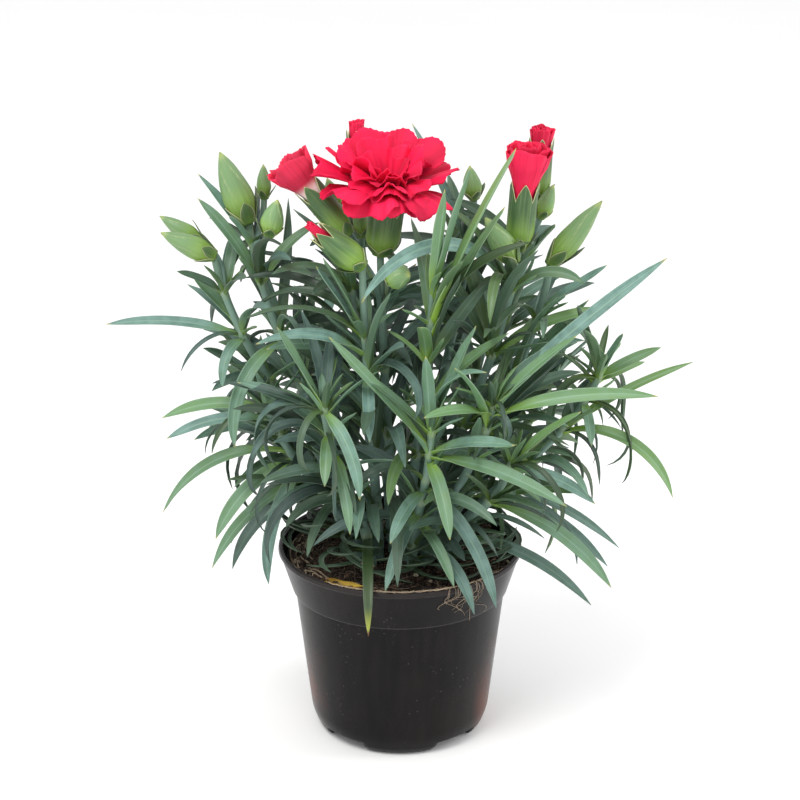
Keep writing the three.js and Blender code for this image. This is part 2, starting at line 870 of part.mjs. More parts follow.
// The petals of the open flower, in degrees and millimetres: [heading, rise, droop, length, depth
// of its wave, phase of its wave, half its spread]. Heading 0 is to the right and 90 to the back.
const BLOOM_PETALS = [
  [98, 72, 12, 28.5, 1.5, 0.4, 38],
  [56, 58, 18, 29, 1.2, 2.2, 42],
  [14, 42, 34, 27, 2.2, 4, 36],
  [325, 44, 108, 26, 1.8, 1, 40],
  [288, 50, 125, 24, 2, 3, 36],
  [248, 50, 118, 25, 1.8, 5.2, 36],
  [215, 44, 66, 27, 2.4, 0.8, 34],
  [184, 42, 26, 31, 2.8, 2.6, 28],
  [150, 50, 14, 29, 2.2, 4.4, 32],
  [120, 78, 12, 24, 2, 1.6, 32],
  [265, 66, 60, 17, 2, 0.2, 34],
  [195, 66, 30, 22, 2.4, 5, 30],
];
const LOWER_PETALS = 9; // the first of them stand outside the others
const LOWER_ROOT = [0.55, 3]; // how far out and how far below the top of the claws they start
const INNER_ROOT = [0.25, 1.5];
const CLAW_STAND = 6; // how far the claws stand out of the cup

function bloomSolid(head) {
  const { base, axis, length, side, mouth } = headFrame(head);
  const claw = clawRadius(mouth);
  const low = base.clone().addScaledVector(axis, length - CUP_DEPTH + GAP);
  const high = base.clone().addScaledVector(axis, length + CLAW_STAND);
  const petals = [solid(skin([low, high].map((end) => ringAt(end, axis, side, claw, CUP_SIDES))))];
  BLOOM_PETALS.forEach(([turn, rise, droop, long, wave, phase, spread], i) => {
    const heading = turn * DEGREE;
    const [away, below] = i < LOWER_PETALS ? LOWER_ROOT : INNER_ROOT;
    const out = new THREE.Vector3(Math.cos(heading), Math.sin(heading), 0);
    const from = high.clone().addScaledVector(axis, -below).addScaledVector(out, claw * away);
    const bend = droop * DEGREE;
    petals.push(petalSolid(from, heading, rise * DEGREE, bend, long, wave, phase, spread * DEGREE));
  });
  return mainBody(fuse(petals));
}

// Half-open petals: a rolled bunch with folds down its sides and a torn, hollow top. Its rings are
// [share of its height, widening of its claws, share of that radius, depth of folds, tear of edge].
const BUNCH_PROFILE = [
  [0.42, 1.1, 1, 0.16, 0],
  [0.92, 1.15, 1, 0.2, 0.09],
  [0.72, 1.15, 0.55, 0, 0.05],
];
const HOLLOW_FLOOR = 0.45; // height of the middle of the hollow, as a share of the bunch's
const BUNCH_START = 0.4; // how far above the cup's teeth the bunch begins to widen
const LEAST_TEAR = 0.2; // of the torn edge's points, as a share of the highest

function openingSolid(head) {
  const { base, axis, length, side, mouth } = headFrame(head);
  const [height, widening] = head.slice(6);
  const claw = clawRadius(mouth);
  const mouthLevel = length * (1 + TOOTH);
  const rings = [length - CUP_DEPTH + GAP, mouthLevel + BUNCH_START].map((level) =>
    ringAt(base.clone().addScaledVector(axis, level), axis, side, claw, CUP_SIDES),
  );
  for (const [share, wide, inner, fold, tear] of BUNCH_PROFILE) {
    const centre = base.clone().addScaledVector(axis, mouthLevel + share * height);
    const grown = claw * (1 + wide * widening) * inner;
    const ring = ringAt(centre, axis, side, grown, CUP_SIDES);
    ring.forEach((p, i) => {
      if (i % 2) p.lerp(centre, fold);
      p.addScaledVector(axis, (i % 2 ? -1 : draw(LEAST_TEAR, 1)) * tear * height);
    });
    rings.push(ring);
  }
  rings.push([base.clone().addScaledVector(axis, mouthLevel + HOLLOW_FLOOR * height)]);
  return solid(skin(rings));
}

// ---------------------------------------------------------------- leaves by rule

// A leaf of the outline, from its joint to the tip it has to reach.
function reachingBlade(stem, [height, tip, droop, width], nudge) {
  const root = stem.curve.getPoint(alongAt(stem.curve, height));
  const chord = new THREE.Vector3(...tip).sub(root);
  const bend = droop * DEGREE;
  const shrink = bend > 0.02 ? bend / 2 / Math.sin(bend / 2) : 1;
  const length = chord.length() * shrink * (1 - nudge.shorter);
  const heading = Math.atan2(chord.y, chord.x) + nudge.heading;
  const rise = Math.asin(chord.z / chord.length()) + bend / 2 + nudge.rise;
  return walkBlade(root, heading, rise, bend, 0, nudge.twist, length, width, KEEL_DEPTH);
}

// The ordinary leaves of a flowering stem and of a leafy shoot, each as [value at the lowest
// joint, loss up to the highest]: their size as a share of the stem's long leaf, how far they
// stand off the stem and how far they droop, in degrees.
const ON_FLOWERING = { size: [1, 0.62], open: [42, 12], droop: [92, 62] };
const ON_LEAFY = { size: [1, 0.25], open: [46, 18], droop: [88, 46] };

// An ordinary leaf at a joint: lower ones are longer and droop more.
function ordinaryBlade(stem, joint, heading, change) {
  const height = stem.joints[joint];
  const along = alongAt(stem.curve, height);
  const root = stem.curve.getPoint(along);
  const axis = stem.curve.getTangent(along);
  const flowering = stem.heads.length > 0;
  const habit = flowering ? ON_FLOWERING : ON_LEAFY;
  const share = joint / (stem.joints.length - 1);
  const valueOf = ([low, loss], by) => low - loss * by;
  const size = valueOf(habit.size, flowering ? share * share : share);
  const length = stem.long * size * change.length;
  const width = NARROW_LEAF + (BROAD_LEAF - NARROW_LEAF) * Math.min(1, length / LONG_LEAF);
  const open = valueOf(habit.open, share) * DEGREE * change.open;
  const droop = valueOf(habit.droop, share) * DEGREE * change.droop;
  const out = new THREE.Vector3(Math.cos(heading), Math.sin(heading), 0);
  out.addScaledVector(axis, -out.dot(axis)).normalize();
  const way = axis.clone().multiplyScalar(Math.cos(open)).addScaledVector(out, Math.sin(open));
  const rise = Math.asin(way.z);
  const turn = Math.atan2(way.y, way.x);
  return walkBlade(root, turn, rise, droop, change.side, change.twist, length, width, KEEL_DEPTH);
}

// Takes the first proposal that is clear of pot and plant, and keeps its room.
function settle(stem, propose, tries, reach, depthReach) {
  for (let i = 0; i < tries; i++) {
    const blade = propose(i);
    const tip = blade.places[BLADE_STEPS].point;
    if (Math.hypot(tip.x, tip.y) > reach) continue;
    if (blade.places.some(({ point }) => Math.abs(point.y) > depthReach)) continue;
    if (!clearOfPot(blade)) continue;
    const lengths = bladeLengths(blade, stem.name);
    if (!clearOfPlant(lengths, stem.name)) continue;
    taken.push(...lengths);
    stem.blades.push(blade);
    return true;
  }
  return false;
}

// ---------------------------------------------------------------- building the plant

const STEM_ROOM = 2.64; // radius of the room that is kept for a stem
const HEAD_ROOM = 0.5; // what is kept round a bud or a cup
const PETAL_ROOM = [3, 2.5]; // what is kept past and round half-open petals
const FLOWER_HEIGHT = 12; // of the middle of the open flower, above its cup
const FLOWER_ARMS = 8; // its room is a star of round arms
const FLOWER_ARM = [22, 8]; // their length and radius
const FLOWER_TILT = 0.2; // how much higher the star is at the back

for (const stem of STEMS) {
  stem.curve = stemCurve(stem.foot, stem.top);
  stem.blades = [];
  const foot = new THREE.Vector3(stem.foot[0], stem.foot[1], STEM_FOOT);
  const places = [foot, ...stemStations(stem).map((along) => stem.curve.getPoint(along))];
  for (let i = 0; i + 1 < places.length; i++) {
    takeRound(stem.name, places[i], places[i + 1], STEM_ROOM);
  }
  for (const head of stem.heads) {
    const { base, tip, radius, axis } = headFrame(head);
    takeRound(stem.name, base, tip, radius + HEAD_ROOM);
    if (head[0] === "opening") {
      const room = radius + (head[7] > 0 ? PETAL_ROOM[1] : HEAD_ROOM);
      const end = tip.clone().addScaledVector(axis, head[6] + PETAL_ROOM[0]);
      takeRound(stem.name, tip, end, room);
    }
    if (head[1]) {
      const stalk = stalkCurve(stem, head);
      takeRound(stem.name, stalk.getPoint(0), stalk.getPoint(0.5), STEM_TOP_RADIUS);
      takeRound(stem.name, stalk.getPoint(0.5), stalk.getPoint(1), STEM_TOP_RADIUS);
    }
    if (head[0] === "bloom") {
      const middle = tip.clone().addScaledVector(axis, FLOWER_HEIGHT);
      for (let k = 0; k < FLOWER_ARMS; k++) {
        const turn = (k / FLOWER_ARMS) * 2 * Math.PI;
        const tilt = FLOWER_TILT * Math.sin(turn);
        const out = new THREE.Vector3(Math.cos(turn), Math.sin(turn), tilt);
        const end = middle.clone().addScaledVector(out, FLOWER_ARM[0]);
        takeRound(stem.name, middle, end, FLOWER_ARM[1]);
      }
    }
  }
}

// How far the draws may turn, raise, shorten and twist a leaf of the outline. All but the twist
// grow from nothing with the attempts.
const NUDGE = { turn: 0.3, shorter: 0.2, twist: 0.5, growth: 2 };

for (const stem of STEMS) {
  for (const leaf of stem.leaves) {
    settle(
      stem,
      (i) => {
        const loose = (NUDGE.growth * i) / OUTLINE_TRIES;
        return reachingBlade(stem, leaf, {
          heading: draw(-NUDGE.turn, NUDGE.turn) * loose,
          rise: draw(-NUDGE.turn, NUDGE.turn) * loose,
          shorter: draw(0, NUDGE.shorter) * loose,
          twist: draw(-NUDGE.twist, NUDGE.twist),
        });
      },
      OUTLINE_TRIES,
      OUTLINE_REACH,
      OUTLINE_DEPTH,
    );
  }
}

// How far the draws may change an ordinary leaf: its turn round the stem, its bend to the side and
// its twist, and its length, opening and droop as shares. loose runs from the start to 1.
const VARIETY = { turn: 0.9, side: 0.5, twist: 0.8, start: 0.35, step: 0.1 };
const LENGTH_RANGE = [0.45, 0.08]; // how much shorter and longer at most
const OPEN_RANGE = [0.5, 0.4];
const DROOP_RANGE = [0.8, 0.5];
const FIRST_PAIR_TURN = 0.2; // from the way the stem leans

const mostJoints = Math.max(...STEMS.map((stem) => stem.joints.length));
for (let joint = mostJoints - 1; joint >= 0; joint--) {
  for (const stem of STEMS.filter((s) => s.joints.length > joint)) {
    const outward = Math.atan2(stem.top[1] - stem.foot[1], stem.top[0] - stem.foot[0]);
    const pair = outward + (joint % 2 ? Math.PI / 2 : FIRST_PAIR_TURN);
    for (const heading of [pair, pair + Math.PI]) {
      const height = stem.joints[joint];
      const filled = stem.leaves.some(([root, tip]) => {
        const place = stem.curve.getPoint(alongAt(stem.curve, root));
        const turn = Math.atan2(tip[1] - place.y, tip[0] - place.x) - heading;
        return Math.abs(root - height) < SAME_JOINT && Math.cos(turn) > SAME_SIDE;
      });
      if (filled) continue;
      settle(
        stem,
        (i) => {
          const loose = Math.min(1, VARIETY.start + VARIETY.step * i);
          const turn = heading + draw(-VARIETY.turn, VARIETY.turn) * loose;
          return ordinaryBlade(stem, joint, turn, {
            length: draw(1 - LENGTH_RANGE[0] * loose, 1 + LENGTH_RANGE[1]),
            open: draw(1 - OPEN_RANGE[0] * loose, 1 + OPEN_RANGE[1] * loose),
            droop: draw(1 - DROOP_RANGE[0] * loose, 1 + DROOP_RANGE[1] * loose),
            side: draw(-VARIETY.side, VARIETY.side),
            twist: draw(-VARIETY.twist, VARIETY.twist),
          });
        },
        ORDINARY_TRIES,
        REACH,
        DEPTH_REACH,
      );
    }
  }
}

// ---------------------------------------------------------------- pot and soil

function potSolid() {
  const wallAt = (radius) => radius - POT_WALL;
  const collarFoot = POT_HEIGHT - COLLAR_HEIGHT;
  const profile = [
    [0, FLOOR_HEIGHT],
    [FOOT_RADIUS - FOOT_RING - FOOT_SLOPE, FLOOR_HEIGHT],
    [FOOT_RADIUS - FOOT_RING, 0],
    [FOOT_RADIUS, 0],
    [FOOT_RADIUS + FOOT_BEVEL[0], FOOT_BEVEL[1]],
    [BODY_LOW_RADIUS, CORNER_HEIGHT],
    [BODY_TOP_RADIUS, collarFoot],
    [COLLAR_FOOT_RADIUS, collarFoot],
    [RIM_RADIUS - RIM_BEAD[0], POT_HEIGHT - RIM_BEAD[1]],
    [RIM_RADIUS, POT_HEIGHT - RIM_BEAD[1] + RIM_ROUNDING],
    [RIM_RADIUS - RIM_ROUNDING, POT_HEIGHT],
    [wallAt(RIM_RADIUS) - RIM_SLOPE, POT_HEIGHT],
    [wallAt(COLLAR_FOOT_RADIUS), collarFoot + LEDGE_SLOPE[0]],
    [wallAt(BODY_TOP_RADIUS), collarFoot - LEDGE_SLOPE[1]],
    [wallAt(BODY_LOW_RADIUS), CORNER_HEIGHT],
    [FOOT_RADIUS + INNER_ROUNDING, FLOOR_HEIGHT + POT_WALL],
    [0, FLOOR_HEIGHT + POT_WALL],
  ];
  const points = profile.map(([radius, height]) => new THREE.Vector2(radius, height));
  const lathe = new THREE.LatheGeometry(points, POT_SIDES);
  lathe.rotateX(Math.PI / 2);
  let pot = solid(lathe);
  const archHalf = FOOT_RADIUS * Math.sin(ARCH_HALF_ANGLE * DEGREE);
  const archFrom = FOOT_RADIUS - ARCH_CUT[0];
  for (const degrees of ARCH_TURNS) {
    const turn = degrees * DEGREE - Math.PI / 2;
    const arch = new THREE.Shape();
    arch.moveTo(-archHalf - ARCH_SLOPE, -1);
    arch.lineTo(archHalf + ARCH_SLOPE, -1);
    arch.lineTo(archHalf - ARCH_SLOPE, ARCH_TOP);
    arch.lineTo(-archHalf + ARCH_SLOPE, ARCH_TOP);
    arch.closePath();
    const cutter = new THREE.ExtrudeGeometry(arch, { depth: ARCH_CUT[1], bevelEnabled: false });
    cutter.rotateX(Math.PI / 2);
    cutter.rotateZ(turn + Math.PI / 2);
    cutter.translate(archFrom * Math.cos(turn), archFrom * Math.sin(turn), 0);
    pot = pot.subtract(solid(cutter));
    const drain = new THREE.CylinderGeometry(DRAIN_RADIUS, DRAIN_RADIUS, FLOOR_HEIGHT, DRAIN_SIDES);
    drain.rotateX(Math.PI / 2);
    drain.translate(DRAIN_RING * Math.cos(turn), DRAIN_RING * Math.sin(turn), FLOOR_HEIGHT);
    pot = pot.subtract(solid(drain));
  }
  return pot;
}

// The height of the soil: a low dome with rounded lumps.
function soilHeight(x, y) {
  const radius = Math.hypot(x, y) / RIM_RADIUS;
  const lumps =
    Math.sin(0.42 * x + 1.3) * Math.cos(0.37 * y - 0.4) + 0.6 * Math.sin(0.21 * x - 0.33 * y + 2);
  return SOIL_LEVEL + SOIL_DOME * (1 - radius * radius) + 0.6 * SOIL_LUMPS * lumps;
}

function soilSolid() {
  const inner = (radius) => radius - POT_WALL - GAP;
  const collarFoot = POT_HEIGHT - COLLAR_HEIGHT;
  const low = FLOOR_HEIGHT + POT_WALL + GAP;
  const collarInner = (height) => {
    const share = (height - collarFoot - LEDGE_SLOPE[0]) / (COLLAR_HEIGHT - LEDGE_SLOPE[0]);
    return inner(COLLAR_FOOT_RADIUS) + (RIM_RADIUS - RIM_SLOPE - COLLAR_FOOT_RADIUS) * share;
  };
  const walls = [
    [FOOT_RADIUS + INNER_ROUNDING - GAP, low],
    [inner(BODY_LOW_RADIUS), CORNER_HEIGHT],
    [inner(BODY_TOP_RADIUS), collarFoot - LEDGE_SLOPE[1]],
  ];
  const ring = (radius, heightAt) => {
    const points = [];
    for (let i = 0; i < POT_SIDES; i++) {
      const turn = (i / POT_SIDES) * 2 * Math.PI;
      const x = radius * Math.cos(turn);
      const y = radius * Math.sin(turn);
      points.push(new THREE.Vector3(x, y, heightAt(x, y)));
    }
    return points;
  };
  const rings = walls.map(([radius, height]) => ring(radius, () => height));
  const top = collarInner(SOIL_LEVEL);
  rings.push(ring(top, () => SOIL_LEVEL - SOIL_EDGE));
  for (const share of SOIL_RINGS) rings.push(ring(top * share, soilHeight));
  rings.push([new THREE.Vector3(0, 0, soilHeight(0, 0))]);
  let soil = solid(skin(rings));
  for (const stem of STEMS) {
    const radius = STEM_LOW_RADIUS + HOLE_CLEARANCE / Math.cos(Math.PI / STEM_SIDES);
    const low = new THREE.Vector3(stem.foot[0], stem.foot[1], STEM_FOOT - GAP);
    const high = new THREE.Vector3(stem.foot[0], stem.foot[1], POT_HEIGHT);
    const ends = [low, high].map((end) => ringAt(end, UP, sideOf(UP), radius, STEM_SIDES));
    soil = soil.subtract(solid(skin(ends)));
  }
  return mainBody(soil);
}

// A dead leaf tip that lies on the soil near the front of the rim.
const FALLEN_ROOT = [-31, -33];
const FALLEN_LENGTH = 17;
const FALLEN_HEADING = -0.35;
const FALLEN_DEPTH = 1.6;
const FALLEN_WIDTHS = [[0, 1.2], [0.3, 2.6], [0.65, 2.2]]; // half widths along it

function fallenLeafSolid() {
  const on = [Math.cos(FALLEN_HEADING), Math.sin(FALLEN_HEADING)];
  const placeAt = (share) => {
    const x = FALLEN_ROOT[0] + share * FALLEN_LENGTH * on[0];
    const y = FALLEN_ROOT[1] + share * FALLEN_LENGTH * on[1];
    return new THREE.Vector3(x, y, soilHeight(x, y) + GAP);
  };
  const rings = FALLEN_WIDTHS.map(([share, half]) => {
    const keel = placeAt(share);
    const left = keel.clone().add(new THREE.Vector3(-half * on[1], half * on[0], FALLEN_DEPTH));
    const right = keel.clone().add(new THREE.Vector3(half * on[1], -half * on[0], FALLEN_DEPTH));
    return [left, right, keel];
  });
  rings.push([placeAt(1).add(new THREE.Vector3(0, 0, FALLEN_DEPTH - GAP))]);
  return solid(skin(rings));
}

// ---------------------------------------------------------------- the scene graph

const plasticBlack = new THREE.MeshStandardMaterial({
  color: 0x17110f, roughness: 0.35, metalness: 0, name: "black plastic",
});
const soilBrown = new THREE.MeshStandardMaterial({
  color: 0x3a2a20, roughness: 1, metalness: 0, name: "potting soil",
});
const leafGreen = new THREE.MeshStandardMaterial({
  color: 0x52705f, roughness: 0.65, metalness: 0, name: "blue-green leaf",
});
const petalRed = new THREE.MeshStandardMaterial({
  color: 0xe01840, roughness: 0.7, metalness: 0, name: "crimson petal",
});
const deadYellow = new THREE.MeshStandardMaterial({
  color: 0xb08a2c, roughness: 0.8, metalness: 0, name: "dead leaf",
});

const plant = new THREE.Group();
plant.add(meshOf("pot", potSolid(), plasticBlack));
plant.add(meshOf("soil", soilSolid(), soilBrown));
plant.add(meshOf("fallen_leaf", fallenLeafSolid(), deadYellow));

for (const stem of STEMS) {
  const pieces = [stemSolid(stem)];
  for (const blade of stem.blades) {
    pieces.push(bladeSolid(blade, strideOf(blade)));
  }
  for (const head of stem.heads) {
    pieces.push(head[0] === "bud" ? budSolid(head) : cupSolid(head));
    if (head[1]) pieces.push(stalkSolid(stalkCurve(stem, head)));
  }
  plant.add(meshOf(stem.name, mainBody(fuse(pieces)), leafGreen));
}

for (const stem of STEMS) {
  for (const head of stem.heads) {
    if (head[0] === "bloom") {
      plant.add(meshOf("petals_bloom", bloomSolid(head), petalRed));
    }
    if (head[0] === "opening") {
      const name = stem.name.replace("stem_bud", "petals");
      plant.add(meshOf(name, openingSolid(head), petalRed));
    }
  }
}

export default plant;
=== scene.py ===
# %% [markdown]
# # A dwarf carnation in its nursery pot
# The real thing is a clump of leafy stems in loose dark compost, in a thin black pot. One flower
# is open, five are half open, and the others are still in bud.
# The solids of the frame hold the sizes. This script replaces each of them with a finer mesh that
# is grown by the same rules, so every leaf, bud and petal stays where its solid is.

# %% Load the frame
import collections
import itertools
import math

import bpy
import numpy as np
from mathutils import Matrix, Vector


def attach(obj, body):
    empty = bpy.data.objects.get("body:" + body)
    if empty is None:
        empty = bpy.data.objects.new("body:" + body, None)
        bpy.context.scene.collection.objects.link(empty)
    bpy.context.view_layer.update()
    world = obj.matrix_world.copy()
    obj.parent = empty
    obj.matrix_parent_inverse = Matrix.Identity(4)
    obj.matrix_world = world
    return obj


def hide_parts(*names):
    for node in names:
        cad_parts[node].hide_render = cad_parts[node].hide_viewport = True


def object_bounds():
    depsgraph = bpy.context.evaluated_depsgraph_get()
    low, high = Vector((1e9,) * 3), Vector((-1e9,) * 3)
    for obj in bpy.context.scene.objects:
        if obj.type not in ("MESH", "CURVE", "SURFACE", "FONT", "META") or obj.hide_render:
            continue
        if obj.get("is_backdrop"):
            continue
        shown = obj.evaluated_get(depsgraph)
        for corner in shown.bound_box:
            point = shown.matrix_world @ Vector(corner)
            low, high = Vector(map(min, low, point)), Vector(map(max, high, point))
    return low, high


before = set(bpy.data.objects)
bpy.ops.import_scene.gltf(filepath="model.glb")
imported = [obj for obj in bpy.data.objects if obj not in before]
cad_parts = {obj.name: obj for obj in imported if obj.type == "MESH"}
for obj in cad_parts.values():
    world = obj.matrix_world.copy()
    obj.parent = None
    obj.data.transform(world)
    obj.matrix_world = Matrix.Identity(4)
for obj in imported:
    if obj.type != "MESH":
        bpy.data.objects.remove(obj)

MM = 0.001
DEGREE = math.pi / 180
UP = np.array([0.0, 0.0, 1.0])
cad_low, cad_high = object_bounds()
print("the frame holds", len(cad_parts), "solids, from", tuple(cad_low), "to", tuple(cad_high))


def new_object(name, data):
    made = bpy.data.objects.new(name, data)
    bpy.context.collection.objects.link(made)
    return made


# %% [markdown]
# ## Camera
# A pot plant on a table is seen from a little above its leaves. A long lens from 0.85 m keeps the
# pot's taper true. The lens follows from how many pixels a metre takes at the rim of the pot.

# %% Camera
IMAGE_SIDE = 800  # pixels
SENSOR = 36.0
PITCH = 20 * DEGREE
DISTANCE = 0.85  # metres, from the lens to the middle of the plant
AIM_HEIGHT = 0.149
RIM_HEIGHT = 0.084
RIM_SCALE = 2319.0  # pixels for a metre at the middle of the rim

rim_depth = DISTANCE + (AIM_HEIGHT - RIM_HEIGHT) * math.sin(PITCH)
camera_data = bpy.data.cameras.new("camera")
camera_data.sensor_width = SENSOR
camera_data.lens = SENSOR * RIM_SCALE * rim_depth / IMAGE_SIDE
camera = new_object("camera", camera_data)
camera.location = (0, -DISTANCE * math.cos(PITCH), AIM_HEIGHT + DISTANCE * math.sin(PITCH))
camera.rotation_euler = (math.pi / 2 - PITCH, 0, 0)
bpy.context.scene.camera = camera
print("camera with a lens of", round(camera_data.lens, 1), "mm")

# %% [markdown]
# ## Room and light
# Black plastic and waxy leaves show their form by what they reflect, so the light is plain: a pale
# floor, a pale sky, one big soft lamp from the upper left and a tall strip beside the pot that
# draws the grey highlight down its right edge.

# %% Pale floor, sky and soft lamps
FLOOR_HALF = 4.0
SKY_COLOUR = (1.0, 1.0, 1.0, 1.0)
SKY_STRENGTH = 1.0


def add_node(tree, kind, inputs=None, **settings):
    """A shader node with its settings and inputs. An input that is another node's socket is linked."""
    node = tree.nodes.new(kind)
    for name, value in settings.items():
        setattr(node, name, value)
    for name, value in (inputs or {}).items():
        if isinstance(value, bpy.types.NodeSocket):
            tree.links.new(value, node.inputs[name])
        else:
            node.inputs[name].default_value = value
    return node


def light_sky():
    world = bpy.data.worlds.new("pale sky")
    world.use_nodes = True
    background = world.node_tree.nodes["Background"]
    background.inputs["Color"].default_value = SKY_COLOUR
    background.inputs["Strength"].default_value = SKY_STRENGTH
    bpy.context.scene.world = world
    bpy.context.scene.view_settings.view_transform = "Standard"


def add_lamp(name, place, aim, size, power, colour=(1, 1, 1)):
    """A soft rectangular lamp that looks from its place to its aim."""
    data = bpy.data.lights.new(name, "AREA")
    data.shape = "RECTANGLE"
    data.size, data.size_y = size
    data.energy = power
    data.color = colour
    lamp = new_object(name, data)
    way = np.array(aim, float) - np.array(place, float)
    flat = math.hypot(way[0], way[1])
    lamp.location = place
    lamp.rotation_euler = (math.atan2(flat, -way[2]), 0, math.atan2(-way[0], way[1]))


def lay_floor():
    mesh = bpy.data.meshes.new("floor")
    corners = [(-1, -1), (1, -1), (1, 1), (-1, 1)]
    mesh.from_pydata([(x * FLOOR_HALF, y * FLOOR_HALF, 0) for x, y in corners], [], [(0, 1, 2, 3)])
    floor = new_object("floor", mesh)
    material = bpy.data.materials.new("pale floor")
    material.use_nodes = True
    tree = material.node_tree
    place = add_node(tree, "ShaderNodeTexCoord").outputs["Object"]
    cloud = add_node(tree, "ShaderNodeTexNoise", {"Vector": place, "Scale": 3.0, "Detail": 2.0})
    shades = {"Value": cloud.outputs["Fac"], "To Min": 0.93, "To Max": 0.96}
    tone = add_node(tree, "ShaderNodeMapRange", shades)
    surface = tree.nodes["Principled BSDF"]
    tree.links.new(tone.outputs["Result"], surface.inputs["Base Color"])
    surface.inputs["Roughness"].default_value = 0.85
    mesh.materials.append(material)
    floor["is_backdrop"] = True


light_sky()
lay_floor()
add_lamp("key from upper left", (-0.5, -0.7, 1.4), (0, 0, 0.15), (0.6, 0.6), 12.0, (1, 0.99, 0.97))
add_lamp("strip on the right", (0.75, -0.05, 0.35), (0, 0, 0.1), (0.2, 0.7), 2.2)
print("floor, sky and two lamps")

# %% [markdown]
# ## The plan of the plant
# The plant is described stem by stem, as a grower would sketch it: where the stem leaves the soil,
# where it ends, the heights of its leaf joints, the few leaves that give the plant its outline, and
# its buds and flowers. All of it is in millimetres, in the frame of the solids. Everything else is
# grown by rule, with a seeded draw, so the plan stays short enough to read.

# %% The stems, their outline leaves and their heads
# leaves: [height of the root, tip, droop in degrees, width].
# heads: [kind, height it branches off or 0 for the stem's end, base, tip, radius], and for cups
# how wide the mouth is against the middle, how far the petals stand out, and how much they widen.
Head = collections.namedtuple("Head", "kind branch base tip radius mouth stand widens")
CUP_PARTS = (1, 0, 0)  # mouth, stand and widening of a head that doesn't say them


def plan(name, foot, top, long, joints, leaves=(), heads=()):
    """One stem. long is the length of its longest ordinary leaf."""
    heads = [Head(*head, *CUP_PARTS[len(head) - 5:]) for head in heads]
    stem = {"name": name, "foot": foot, "top": top, "long": long, "joints": joints}
    return stem | {"leaves": leaves, "heads": heads, "blades": []}


